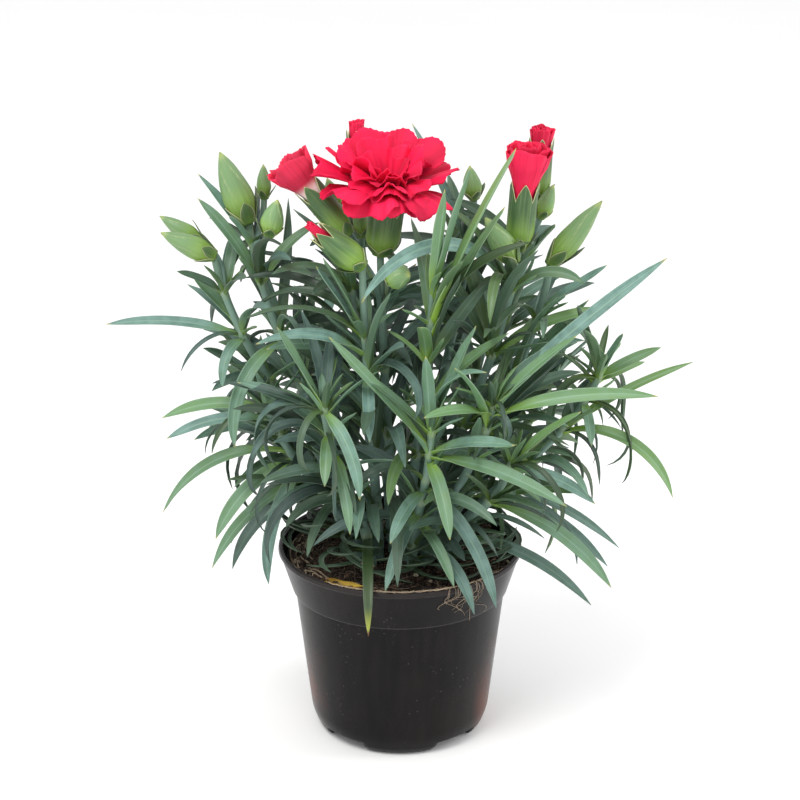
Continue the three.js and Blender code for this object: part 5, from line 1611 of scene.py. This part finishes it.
# %% Each stem with its leaves and heads
# How much fresher than the others the leaves of a stem are.
FRESHER = {
    "shoot_tall": 0.5, "shoot_right": 0.45, "shoot_right_low": 0.3, "shoot_right_front": 0.15,
    "shoot_left_fan": 0.1, "stem_bud_right": 0.3, "stem_bloom": -0.1,
}
# Painted shade: leaves low in the clump are made darker than high ones.
LOW_PAINTED_SHADE = 0.5  # tone of the lowest leaves against that of high ones
LEAVES_TO = 140  # height of the leaves above the compost
OLD, OLD_BELOW, OLD_WIDTH = 1.6, 93, 6  # narrow leaves of the solids that start low are old
YOUNG_ROWS, INNER_ROWS, LEAF_ROWS = 11, 14, 23
YOUNG_THICKNESS = 0.8

tones = Draws(991)
for stem in STEMS:
    fresher = FRESHER.get(stem["name"], 0)
    shape = Shape()
    radii = STEM_LOW_RADIUS, STEM_TOP_RADIUS
    add_stem(shape, stem["curve"], radii, stem["joint_places"], STEM_STEPS, stem["number"],
             stem["foot"])
    for number, blade in enumerate(stem["blades"]):
        height = (blade["root"][2] - SOIL_LEVEL) / LEAVES_TO
        small = stem["exact"] <= number < stem["small"]
        inner = number >= stem["small"]
        young = tones(-0.3, 0.6) + 0.2 * height + (0.35 if small else 0) + fresher
        young = min(1, max(0, young))
        narrow = blade["width"] < OLD_WIDTH
        if number < stem["exact"] and blade["root"][2] < OLD_BELOW and narrow:
            young = OLD
        young = blade.get("young", young)
        rows = YOUNG_ROWS if small else INNER_ROWS if inner else LEAF_ROWS
        # Painted shade: outline leaves get light tones, and inner leaves, loops and curls get dark
        # ones, where shade falls inside the clump. Within each range the tone is drawn at random.
        if number < stem["outline"]:
            tone = tones(0.65, 1)
        elif number < stem["inner"]:
            tone = tones(0, 0.6) if inner else tones(0.25, 0.9)
        else:
            tone = tones(0, 0.4)
        tone = tone * (LOW_PAINTED_SHADE + (1 - LOW_PAINTED_SHADE) * min(1, 2.2 * height))
        add_leaf(shape, blade, tone, young, tones(0, 6), rows, YOUNG_THICKNESS if small else 1)
    for head in stem["heads"]:
        tone = tones(0.2, 1)
        if head.branch:
            radii = STALK_RADIUS, STALK_RADIUS
            add_stem(shape, stalk_curve(stem, head), radii, [0], STALK_STEPS, tone)
        if head.kind == "bud":
            add_bud(shape, head, tone, tones(0.5, 0.9))
        else:
            add_cup(shape, head, tone)
    make_piece(stem["name"] + "_grown", shape, [LEAF, STEM, CUP], "foliage", stem["name"])
print(len(STEMS), "stems grown")

# %% [markdown]
# ## The open flower
# A carnation petal is a fan on a narrow claw, ruffled across and finely fringed at its edge. This
# flower opens to the front: broad petals stand up behind, those at the left are folded like a fan,
# and those at the front hang over the cup. The large petals repeat the fans of the solid on a finer
# grid, and small crumpled ones fill the heart.

# %% Fan petals
PETAL_THIN = 0.3
FRINGE_TEETH = 17


def fan_petal(root, heading, rise, droop, length, wave, phase, spread):
    """The middle surface of a petal as a grid, claw first."""
    v, u = grid_shares(22, 48)
    scallop = 1 - 0.06 * np.cos(2 * math.pi * (u + 1)) * v ** 3
    saw = np.abs((u * FRINGE_TEETH / 2 + 0.13 * phase) % 1 - 0.5) * 2
    notch = scallop * (1 - 0.022 * saw * v ** 14) * (1 - 0.1 * u ** 6 * v ** 2)
    forward = length * v * np.cos(u * spread) * notch
    lateral = length * v * np.sin(u * spread) * notch + 1.6 * u * (1 - v)
    bent = forward / length * droop
    chord = forward * np.sinc(bent / (2 * math.pi))
    pitch = rise - bent / 2
    broad = np.sin(u * 4.2 + phase)
    pleats = np.sin(u * 10.5 + 2.3 * phase + 0.8 * v)
    ruffle = wave * (v * v * broad + 0.3 * v ** 1.5 * pleats)
    ruffle = ruffle + 0.1 * wave * v ** 7 * np.sin(u * 25 + 1.1 * phase)
    # fold follows the bends of the ruffle. add_petal turns it into painted shade.
    fold = 0.5 * broad * v + 0.5 * pleats * np.minimum(1, 2 * v)
    facing = rise - bent
    out = np.array([math.cos(heading), math.sin(heading), 0.0])
    level = np.array([-math.sin(heading), math.cos(heading), 0.0])
    normal = np.cos(facing)[..., None] * UP - np.sin(facing)[..., None] * out
    grid = root + (chord * np.cos(pitch))[..., None] * out + lateral[..., None] * level
    grid = grid + (chord * np.sin(pitch))[..., None] * UP + ruffle[..., None] * normal
    return grid, fold, u, v


def add_petal(shape, grid, fold, u, v, length, tone, young):
    """A petal, with painted shade in its folds."""
    grain = stacked(u * 9, v * length, 23.0 * tone)
    # Painted shade: the tone is made darker along the folds.
    depth = np.clip(tone + 0.32 * fold, 0, 1)
    add_plate(shape, grid, PETAL_THIN, grain, along=v, tone=depth, young=young)


def claw_radius(mouth):
    return mouth - CUP_WALL - GAP / math.cos(math.pi / CUP_SIDES)


def add_claws(shape, head, low, high, young):
    """The bundle of claws that fills the mouth of a cup."""
    claw = claw_radius(head.radius * head.mouth)
    turn = full_turn(HEAD_AROUND)[None]
    height = np.linspace(low, high, 4)[:, None]
    fold = 1 - 0.05 * (1 + np.cos(10 * turn))
    rings = around_head(head, height, claw * fold, turn)
    add_tube(shape, rings, along=[[0], [0.1], [0.2], [0.3]], tone=0.5, young=young)


# %% Petals of the open flower
# In degrees and millimetres: heading, rise, droop, length, depth of the wave, its phase, half the
# spread. Heading 0 is to the right and 90 to the back.
BLOOM_PETALS = [
    [98, 72, 12, 28.5, 1.5, 0.4, 38], [56, 58, 18, 29, 1.2, 2.2, 42], [14, 42, 34, 27, 2.2, 4, 36],
    [325, 44, 104, 25, 2.2, 1, 40], [288, 52, 118, 22, 2.4, 3, 36], [248, 50, 114, 24, 2.2, 5.2, 36],
    [215, 44, 66, 27, 2.4, 0.8, 34], [184, 42, 26, 31, 2.8, 2.6, 28], [150, 50, 14, 29, 2.2, 4.4, 32],
    [120, 78, 12, 24, 2, 1.6, 32], [265, 66, 60, 17, 2, 0.2, 34], [195, 66, 30, 22, 2.4, 5, 30],
]
HEART_PETALS = [
    [150, 80, 24, 19, 2.2, 1, 28], [80, 82, 18, 20, 2, 3, 32], [30, 72, 22, 23, 1.6, 3.4, 36],
    [345, 66, 40, 20, 2.2, 2, 32], [305, 58, 84, 20, 2.4, 5, 32], [272, 56, 92, 20, 2.6, 1.5, 32],
    [238, 56, 80, 20, 2.6, 4, 32], [208, 60, 46, 22, 2.6, 2, 28], [168, 58, 24, 27, 2.4, 0.5, 28],
    [320, 70, 50, 15, 2, 3, 28], [285, 74, 54, 14, 2.2, 2.4, 28], [240, 76, 44, 14, 2.2, 5.4, 26],
    [40, 84, 16, 16, 1.8, 0.9, 28], [190, 78, 30, 16, 2, 3.6, 26],
]
LOWER_PETALS = 9
LOWER_ROOT, INNER_ROOT = (0.55, 3), (0.25, 1.5)  # share of the claws' radius, depth below their top
CLAW_STAND = 6


def bloom_petal(head, row, away, below):
    """A petal of the open flower: its grid and folds, from its row and where its root is."""
    base, axis, cup, _, _ = head_frame(head)
    turn, rise, droop, length, wave, phase, spread = row
    claw = claw_radius(head.radius * head.mouth)
    heading = turn * DEGREE
    out = np.array([math.cos(heading), math.sin(heading), 0])
    root = base + axis * (cup + CLAW_STAND - below) + out * claw * away
    return fan_petal(root, heading, rise * DEGREE, droop * DEGREE, length, wave, phase, spread * DEGREE)


shape = Shape()
bloom = next(head for head in STEMS[0]["heads"] if head.kind == "bloom")
for k, row in enumerate(BLOOM_PETALS + HEART_PETALS):
    petal = bloom_petal(bloom, row, *(LOWER_ROOT if k < LOWER_PETALS else INNER_ROOT))
    add_petal(shape, *petal, row[3], more(0.4, 0.8), more(0, 0.25))
bloom_length = head_frame(bloom)[2]
add_claws(shape, bloom, bloom_length - CUP_DEPTH + GAP, bloom_length + 2, 0.2)
make_piece("petals_bloom_grown", shape, [PETAL], "petal", "petals_bloom")
print("open flower of", len(BLOOM_PETALS + HEART_PETALS), "petals")

# %% [markdown]
# ## Half-open flowers
# Their petals still stand up, rolled round each other, with their fringed edges pressed together.
# Three rings of curved sheets, the middle ring the tallest, make such a bunch.

# %% Rolled petals
BUNCH_RINGS = [
    # petals, share of the claw's radius, share of the height, half width in turns
    [3, 0.98, 0.95, 0.2],
    [3, 0.78, 1.03, 0.2],
    [4, 0.45, 1.0, 0.19],
]


def stand_share(stand):
    """Short bunches open less than tall ones."""
    return 0.4 + stand / 20


def add_bunch(shape, head, tone, young, claw_red):
    """claw_red is how far along its length a petal already is where it leaves the cup."""
    length = head_frame(head)[2]
    stand, widening = head.stand, head.widens * stand_share(head.stand)
    claw = claw_radius(head.radius * head.mouth)
    level = length * (1 + TOOTH)
    low = length - CUP_DEPTH + GAP + 0.4
    v, u = grid_shares(16, 28)
    for ring, (count, inward, share, half) in enumerate(BUNCH_RINGS):
        for k in range(count):
            phase = more(0, 6.28)
            middle = 2 * math.pi * (k + 0.5 * ring) / count + more(-0.2, 0.2)
            top = level + stand * share * more(0.9, 1.04)
            saw = np.abs((u * 7 + phase) % 1 - 0.5) * 2
            crest = (1 - 0.13 * u * u - 0.2 * u ** 6) * (1 - 0.02 * saw)
            crest = crest + 0.03 * np.sin(u * 5 + phase)
            height = low + (top - low) * v * (1 - (1 - crest) * v ** 3)
            valley = length * (1 - TOOTH)
            out = np.clip((height - valley) / (stand + level - valley), 0, 1.1)
            flare = 0.75 * out + 0.35 * np.sin(np.clip(out * 1.2, 0, 1) * math.pi / 2)
            grown = 1 + 1.2 * widening * flare * np.clip(1.6 * out, 0, 1)
            folds = (0.07 * np.sin(u * 5 + phase) + 0.03 * np.sin(u * 12 + 2.6 * phase)) * out
            curl = 0.08 * out ** 4 * np.sin(u * 13 + 2 * phase)
            radii = claw * inward * grown * (1 + folds + curl) - 0.25
            turn = middle + u * half * 2 * math.pi * (0.85 + 0.2 * out)
            grid = around_head(head, height, radii, turn)
            grain = stacked(u * 6 * (0.5 + 0.5 * v), height, 19.0 * phase)
            along = claw_red + (1 - claw_red) * np.minimum(out, 1)
            shade = min(1, max(0, tone + more(-0.3, 0.3)))
            add_plate(shape, grid[:, ::-1], PETAL_THIN, grain[:, ::-1], along=along[:, ::-1],
                      tone=shade, young=young)
    add_claws(shape, head, length - CUP_DEPTH + GAP, valley - 0.5, 0.8 * young)


PINKEST = "stem_bud_left"
for stem in STEMS:
    for head in stem["heads"]:
        if head.kind == "opening":
            shape = Shape()
            young, claw_red = (0.95, 0.02) if stem["name"] == PINKEST else (0.35, 0.45)
            add_bunch(shape, head, more(0.4, 0.7), young, claw_red)
            node = stem["name"].replace("stem_bud", "petals")
            make_piece(node + "_grown", shape, [PETAL], "petal", node)
print("half-open flowers done")

# %% [markdown]
# ## The pot
# It is moulded from black plastic: one lathe section with soft corners, a thickened lip, a collar
# that steps in to the body so that pots stack, and a raised floor. Four shallow arches are cut into
# its foot ring, and water leaves through a hole behind each.

# %% Pot section
RIM_BEAD = 2.2
COLLAR_HEIGHT = 19
COLLAR_FOOT_RADIUS = 46.6
BODY_TOP_RADIUS = 45.4
BODY_LOW_RADIUS = 38.8
CORNER_HEIGHT = 8
FOOT_RADIUS = 34
FOOT_BEVEL = (2.6, 2.2)
FOOT_RING = 2
POT_WALL = 1.3
FLOOR_HEIGHT = 5.2
ARCH_TURNS = [-41, 41, 139, 221]
ARCH_HALF_ANGLE = 16
ARCH_SLOPE = 1.25
DRAIN_RADIUS = 4
DRAIN_RING = 20
POT_AROUND = 180
DRILL_AROUND = 24
COLLAR_FOOT = POT_HEIGHT - COLLAR_HEIGHT

# Corners of the section: [radius, height, rounding, how pale the edge is, as painted highlight].
POT_SECTION = [
    [0, FLOOR_HEIGHT, 0, 0],
    [FOOT_RADIUS - FOOT_RING - 0.6, FLOOR_HEIGHT, 0.4, 0],
    [FOOT_RADIUS - FOOT_RING, 0, 0.3, 0],
    [FOOT_RADIUS, 0, 0.5, 0.2],
    [FOOT_RADIUS + FOOT_BEVEL[0], FOOT_BEVEL[1], 1.5, 0],
    [BODY_LOW_RADIUS, CORNER_HEIGHT, 2.5, 0],
    [BODY_TOP_RADIUS, COLLAR_FOOT, 0.4, 0],
    [COLLAR_FOOT_RADIUS, COLLAR_FOOT, 0.35, 1],
    [RIM_RADIUS - 0.7, POT_HEIGHT - RIM_BEAD, 0.3, 0.3],
    [RIM_RADIUS, POT_HEIGHT - RIM_BEAD + 0.3, 0.25, 0.5],
    [RIM_RADIUS - 0.3, POT_HEIGHT, 0.6, 0.6],
    [RIM_RADIUS - POT_WALL - 0.5, POT_HEIGHT, 0.5, 0.4],
    [COLLAR_FOOT_RADIUS - POT_WALL, COLLAR_FOOT + 0.6, 0.3, 0],
    [BODY_TOP_RADIUS - POT_WALL, COLLAR_FOOT - 1, 0.3, 0],
    [BODY_LOW_RADIUS - POT_WALL, CORNER_HEIGHT, 1.0, 0],
    [FOOT_RADIUS + 1.2, FLOOR_HEIGHT + POT_WALL, 1.0, 0],
    [0, FLOOR_HEIGHT + POT_WALL, 0, 0],
]


# %% Turned forms and drilled holes
def rounded_section(section, steps=4):
    """The section with each corner turned into a short curve, and long walls cut into lengths."""
    corners = np.array([row[:2] for row in section], float)
    places, pales = [corners[0]], [0.0]
    for k in range(1, len(section) - 1):
        before, here, after = corners[k - 1], corners[k], corners[k + 1]
        back, on = before - here, after - here
        cut = min(section[k][2], 0.45 * np.linalg.norm(back), 0.45 * np.linalg.norm(on))
        one, two = here + unit(back) * cut, here + unit(on) * cut
        start = places[-1]
        gap = np.linalg.norm(one - start)
        cuts = np.arange(1, gap // 6 + 1) / (gap // 6 + 1)
        shares = [0.4 / gap, *cuts, 1 - 0.4 / gap] if gap > 2 else []
        places += [start + (one - start) * share for share in shares]
        pales += [0.0] * len(shares)
        for t in np.linspace(0, 1, steps):
            places.append((1 - t) ** 2 * one + 2 * t * (1 - t) * here + t * t * two)
            pales.append(section[k][3])
    return np.array(places + [corners[-1]]), np.array(pales + [0.0])


def arch_height(radii, heights, turns):
    """Heights of the section, lifted where an arch cuts the foot ring."""
    half = ARCH_HALF_ANGLE + math.degrees(0.5 * ARCH_SLOPE / FOOT_RADIUS)
    edge = math.degrees(ARCH_SLOPE / FOOT_RADIUS)
    top = FLOOR_HEIGHT - 0.4
    from_front = np.degrees(turns) + 90
    lift = 0.0
    for middle in ARCH_TURNS:
        away = np.abs((from_front - middle + 180) % 360 - 180)
        lift = np.maximum(lift, top * np.clip((half + edge - away) / (2 * edge), 0, 1))
    under = (radii > FOOT_RADIUS - FOOT_RING - 1) & (radii < FOOT_RADIUS + 8)
    return np.where(under, np.maximum(heights, lift), heights)


def add_turned(shape, places, turns, heights, pale=0.0, **values):
    """A closed form of revolution. The first and last places lie on the axis."""
    radii = places[1:-1, 0][:, None]
    x, y = radii * np.cos(turns), radii * np.sin(turns)
    count, around = len(places) - 2, turns.shape[-1]
    rings = stacked(x, y, heights).reshape(-1, 3)
    ends = np.array([[0, 0, places[0, 1]], [0, 0, places[-1, 1]]])
    side = np.arange(around)
    turned = (side + 1) % around
    low, last = count * around, (count - 1) * around
    fans = (low, turned, side), (low + 1, last + side, last + turned)
    pale = np.concatenate([np.repeat(pale, around), [0, 0]]) if np.ndim(pale) else pale
    start = shape.count
    points = np.vstack([rings, ends])
    shape.add(points, row_faces(count - 1, around, around), pale=pale, **values)
    for fan in fans:
        shape.faces.append(np.hstack([stacked(*fan) + start, np.full((around, 1), -1)]))
        shape.finishes.append(np.zeros(around, int))


def drill(piece, places, radius, low, high):
    """Cuts round holes straight down through a piece."""
    shape = Shape()
    turn = full_turn(DRILL_AROUND)
    for x, y in places:
        ring = stacked(x + radius * np.cos(turn), y + radius * np.sin(turn), 0.0)
        add_tube(shape, np.stack([ring + (0, 0, low), ring + (0, 0, high)]))
    mesh = bpy.data.meshes.new("drill")
    faces = np.vstack(shape.faces)
    mesh.from_pydata((np.vstack(shape.points) * MM).tolist(), [], faces.tolist())
    cutter = new_object("drill", mesh)
    cut = piece.modifiers.new("drill", "BOOLEAN")
    cut.operation = "DIFFERENCE"
    cut.solver = "EXACT"
    cut.object = cutter
    graph = bpy.context.evaluated_depsgraph_get()
    drilled = bpy.data.meshes.new_from_object(piece.evaluated_get(graph))
    piece.modifiers.clear()
    piece.data = drilled
    bpy.data.objects.remove(cutter)


# %% Moulding the pot
shape = Shape()
places, pales = rounded_section(POT_SECTION)
turns = full_turn(POT_AROUND)[None]
radii, heights = places[1:-1, 0][:, None], places[1:-1, 1][:, None]
add_turned(shape, places, turns, arch_height(radii, heights, turns), pales[1:-1])
pot = make_piece("pot_moulded", shape, [POT], "pot_plastic", "pot")
behind = [turn * DEGREE for turn in ARCH_TURNS]
drains = [(DRAIN_RING * math.sin(turn), -DRAIN_RING * math.cos(turn)) for turn in behind]
drill(pot, drains, DRAIN_RADIUS, FLOOR_HEIGHT - 1, FLOOR_HEIGHT + 3)
print("pot with", len(pot.data.polygons), "faces")

# %% [markdown]
# ## Compost
# The compost fills the pot to 5 mm below its lip. Its surface is a low dome with lumps, covered with
# loose crumbs, a few pale grains and short fibres. The crumbs are small rough balls of twenty
# faces, pressed a little into the surface.

# %% Compost body
def soil_height(x, y):
    share = np.hypot(x, y) / RIM_RADIUS
    lumps = np.sin(0.42 * x + 1.3) * np.cos(0.37 * y - 0.4) + 0.6 * np.sin(0.21 * x - 0.33 * y + 2)
    return SOIL_LEVEL + SOIL_DOME * (1 - share * share) + 0.6 * SOIL_LUMPS * lumps


def collar_inside(height):
    share = (height - COLLAR_FOOT - 0.6) / (COLLAR_HEIGHT - 0.6)
    foot = COLLAR_FOOT_RADIUS - POT_WALL - GAP
    return foot + (RIM_RADIUS - 0.5 - COLLAR_FOOT_RADIUS) * share


scatter = np.random.default_rng(5)
SOIL_AROUND = 144
top_radius = collar_inside(SOIL_LEVEL)
inset = POT_WALL + GAP
wall = [
    [0, FLOOR_HEIGHT + inset], [FOOT_RADIUS + 0.8, FLOOR_HEIGHT + inset],
    [BODY_LOW_RADIUS - inset, CORNER_HEIGHT], [BODY_TOP_RADIUS - inset, COLLAR_FOOT - 1],
]
steps = np.linspace(1, 0.02, 50)
places = np.array(wall + [[top_radius * share, SOIL_LEVEL] for share in steps] + [[0, 0]])
turns = full_turn(SOIL_AROUND)[None]
radii = places[1:-1, 0][:, None]
surface_height = soil_height(radii * np.cos(turns), radii * np.sin(turns))
surface_height = surface_height + scatter.normal(0, 0.35, surface_height.shape)
heights = np.broadcast_to(places[1:-1, 1][:, None], surface_height.shape).copy()
heights[4:] = surface_height[4:]
heights[3] = SOIL_LEVEL - 0.4
places[-1, 1] = soil_height(0, 0)
soil_shape = Shape()
tone = scatter.uniform(0, 0.5, heights.size + 2)
add_turned(soil_shape, places, turns, heights, tone=tone)

# %% Crumbs
CRUMBS = 3200
PALE_CRUMBS = 0.012  # share of the crumbs that are pale grains
BALL_POINTS = 12


def twenty_faced_ball():
    """The corners of a ball of radius 1, and its faces, turned outwards."""
    golden = (1 + 5 ** 0.5) / 2
    corners = [(-1, golden, 0), (1, golden, 0), (-1, -golden, 0), (1, -golden, 0)]
    turned = [(z, x, y) for x, y, z in corners] + [(y, z, x) for x, y, z in corners]
    ball = unit(np.array(corners + turned, float))
    edge = 2 / math.sqrt(1 + golden ** 2) * 1.01
    faces = []
    for i, j, k in itertools.combinations(range(BALL_POINTS), 3):
        a, b, c = ball[i], ball[j], ball[k]
        if max(np.linalg.norm(a - b), np.linalg.norm(b - c), np.linalg.norm(c - a)) < edge:
            outward = np.cross(b - a, c - a) @ (a + b + c) > 0
            faces.append((i, j, k) if outward else (i, k, j))
    return ball, np.array(faces)


def add_crumbs(shape, places, sizes, tone):
    """Rough balls at the places, each squashed, turned and dented in its own way."""
    count = len(places)
    turn = scatter.uniform(0, 2 * math.pi, count)
    dents = scatter.uniform(0.7, 1.25, (count, BALL_POINTS, 1))
    squash = scatter.uniform(0.5, 1.1, (count, 1, 3))
    ball, ball_faces = twenty_faced_ball()
    points = ball[None] * dents * squash
    x = points[..., 0] * np.cos(turn)[:, None] - points[..., 1] * np.sin(turn)[:, None]
    y = points[..., 0] * np.sin(turn)[:, None] + points[..., 1] * np.cos(turn)[:, None]
    points = stacked(x, y, points[..., 2]) * sizes[:, None, None] + places[:, None]
    faces = ball_faces[None] + BALL_POINTS * np.arange(count)[:, None, None]
    shape.add(points, faces.reshape(-1, 3), tone=np.repeat(tone, BALL_POINTS))


radius = (top_radius - 1.2) * np.sqrt(scatter.uniform(0, 1, CRUMBS))
turn = scatter.uniform(0, 2 * math.pi, CRUMBS)
x, y = radius * np.cos(turn), radius * np.sin(turn)
sizes = scatter.uniform(0.35, 1.0, CRUMBS) ** 2 * 1.5 + 0.15
tone = scatter.uniform(0, 0.9, CRUMBS)
tone[scatter.uniform(0, 1, CRUMBS) < PALE_CRUMBS] = 1.0
add_crumbs(soil_shape, stacked(x, y, soil_height(x, y) + 0.3 * sizes), sizes, tone)
make_piece("soil_loose", soil_shape, [COMPOST], "soil", "soil")
print("compost with", CRUMBS, "crumbs")

# %% [markdown]
# ## Fibres, straw and loose roots
# Brown fibres lie all over the compost. Longer straws have gathered along the front of the rim and
# on its lip, and some fine roots have been washed over it and cling to the collar outside.

# %% Thin strands
def add_strand(shape, points, radius, tone, around=4):
    """A thin strand along a row of points."""
    turn = full_turn(around)
    radii = radius * np.linspace(1, 0.6, len(points))
    rings = round_rings(points, unit(np.gradient(points, axis=0)), radii, turn)
    grain = stacked(turn * radius, distances(points)[:, None], 41.0 * tone)
    add_tube(shape, rings, grain, tone=tone)


def smoothed(draws):
    """The mean of each five draws in a row."""
    return np.convolve(draws, np.ones(5) / 5, "valid")


def lying_strand(x, y, turn, length, curl, steps=9):
    """Points of a strand that lies on the compost."""
    turns = turn + curl * np.linspace(-1, 1, steps)
    xs = x + np.cumsum(np.cos(turns)) * length / steps
    ys = y + np.cumsum(np.sin(turns)) * length / steps
    away = np.hypot(xs, ys)
    inside = np.minimum(1, (top_radius - 1.5) / away)
    xs, ys = xs * inside, ys * inside
    arch = 0.9 * np.sin(np.linspace(0, math.pi, steps)) * scatter.uniform(0, 1)
    return stacked(xs, ys, soil_height(xs, ys) + 0.5 + arch)


# %% Strands on the compost
FIBRES = 520
STRAWS = 80
straw_shape = Shape()
for _ in range(FIBRES):
    radius = (top_radius - 2) * math.sqrt(scatter.uniform(0.05, 1))
    turn = scatter.uniform(0, 2 * math.pi)
    start = radius * math.cos(turn), radius * math.sin(turn)
    length, curl = scatter.uniform(3, 11), scatter.uniform(-0.9, 0.9)
    points = lying_strand(*start, scatter.uniform(0, 6.28), length, curl)
    add_strand(straw_shape, points, scatter.uniform(0.1, 0.24), scatter.uniform(0, 0.6))
for _ in range(STRAWS):
    turn = scatter.uniform(math.pi * 0.85, math.pi * 1.9)
    radius = scatter.uniform(41, top_radius - 0.8)
    start = radius * math.cos(turn), radius * math.sin(turn)
    along_rim = turn + math.pi / 2 + scatter.uniform(-0.5, 0.5)
    points = lying_strand(*start, along_rim, scatter.uniform(7, 17), scatter.uniform(0, 0.5))
    add_strand(straw_shape, points, scatter.uniform(0.15, 0.42), scatter.uniform(0.3, 1), 6)


# %% Straw on the lip and roots over it
LIP_STRAWS = 44
LIP_FROM, LIP_TO = -128, -48  # degrees round the rim, with the front at -90
ROOTS = 14
ROOTS_AT = math.radians(-90 + 33)


def hanging_root(turn, out, low, sway, kinks):
    """Points of a root from the compost over the lip and down outside the collar."""
    over = [
        (RIM_RADIUS - 4.5, SOIL_LEVEL + 2.2),
        (RIM_RADIUS - 2.6, POT_HEIGHT - 0.4),
        (RIM_RADIUS - 0.9, POT_HEIGHT + 0.6),
        (RIM_RADIUS + 0.5, POT_HEIGHT - 0.4),
        (RIM_RADIUS + 0.6, POT_HEIGHT - 3),
    ]
    slope = (RIM_RADIUS - 0.7 - COLLAR_FOOT_RADIUS) / (COLLAR_HEIGHT - RIM_BEAD)
    for z in np.linspace(POT_HEIGHT - 4.5, low, 16):
        collar = RIM_RADIUS - 0.7 - slope * (POT_HEIGHT - RIM_BEAD - z)
        over.append((max(COLLAR_FOOT_RADIUS, collar) + out, z))
    radii, heights = np.array(over).T
    wander = np.cumsum(kinks) * np.linspace(0.2, 1, len(over))
    turns = turn + (sway * np.sin(np.linspace(0, 5, len(over))) + wander) / RIM_RADIUS
    return stacked(radii * np.cos(turns), radii * np.sin(turns), heights)


for _ in range(LIP_STRAWS):
    steps = 12
    start = math.radians(scatter.uniform(LIP_FROM, LIP_TO))
    turns = start + np.linspace(0, scatter.uniform(5, 20), steps) / RIM_RADIUS
    radius = RIM_RADIUS - 1.2 + smoothed(scatter.normal(0, 0.9, steps + 4))
    height = POT_HEIGHT + 0.15 + scatter.uniform(0, 0.5, steps) - 1.2 * np.maximum(0, 50.8 - radius)
    points = stacked(radius * np.cos(turns), radius * np.sin(turns), height)
    add_strand(straw_shape, points, scatter.uniform(0.08, 0.2), scatter.uniform(0.3, 1))
for _ in range(ROOTS):
    turn = ROOTS_AT + scatter.normal(0, 0.09)
    low = POT_HEIGHT - 6 - 14 * scatter.uniform(0, 1) ** 1.3
    kinks = smoothed(scatter.normal(0, 1.5, 25))
    points = hanging_root(turn, scatter.uniform(0.2, 0.7), low, scatter.uniform(-5, 5), kinks)
    add_strand(straw_shape, points, scatter.uniform(0.05, 0.11), scatter.uniform(0.3, 1))
make_piece("soil_straw", straw_shape, [STRAW], "soil")
print(FIBRES, "fibres,", STRAWS + LIP_STRAWS, "straws and", ROOTS, "roots over the rim")

# %% [markdown]
# ## The fallen leaf
# One dead leaf tip lies on the compost near the front of the rim, dried to ochre, with its edges
# curled up.

# %% Fallen leaf
FALLEN_ROOT = np.array([-31.0, -33.0])
FALLEN_LENGTH = 17
FALLEN_HEADING = -0.35
FALLEN_DEPTH = 1.6
FALLEN_THICK = 0.4
FALLEN_WIDTHS = [[0, 1.2], [0.3, 2.6], [0.65, 2.2], [1, 0.1]]

v, u = grid_shares(22, 10)
on = np.array([math.cos(FALLEN_HEADING), math.sin(FALLEN_HEADING)])
half = smooth_profile(FALLEN_WIDTHS, v)
spine_x = FALLEN_ROOT[0] + v * FALLEN_LENGTH * on[0]
spine_y = FALLEN_ROOT[1] + v * FALLEN_LENGTH * on[1]
x = spine_x - u * half * on[1]
y = spine_y + u * half * on[0]
z = soil_height(spine_x, spine_y) + GAP + FALLEN_THICK
z = z + FALLEN_DEPTH * (0.85 * u * u * (1 - 0.3 * v) + 0.9 * v ** 3)
z = z + 0.2 * np.sin(9 * v + 2 * u)
shape = Shape()
grain = stacked(u * 3, v * FALLEN_LENGTH, 3.0)
add_plate(shape, stacked(x, y, z)[:, ::-1], FALLEN_THICK, grain, along=v, tone=0.35 + 0.6 * v)
make_piece("fallen_leaf_curled", shape, [DEAD], "dead_leaf", "fallen_leaf")
print("fallen leaf done")

# %% [markdown]
# ## Sizes
# The box of the solids and the box of what was grown over them are kept side by side, because the
# fine meshes may not outgrow the part.

# %% Sizes, then the end
low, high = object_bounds()
sizes = {"cad": [list(cad_low), list(cad_high)], "visual": [list(low), list(high)]}
print("box of the finished plant:", [round(v, 4) for v in low], [round(v, 4) for v in high])
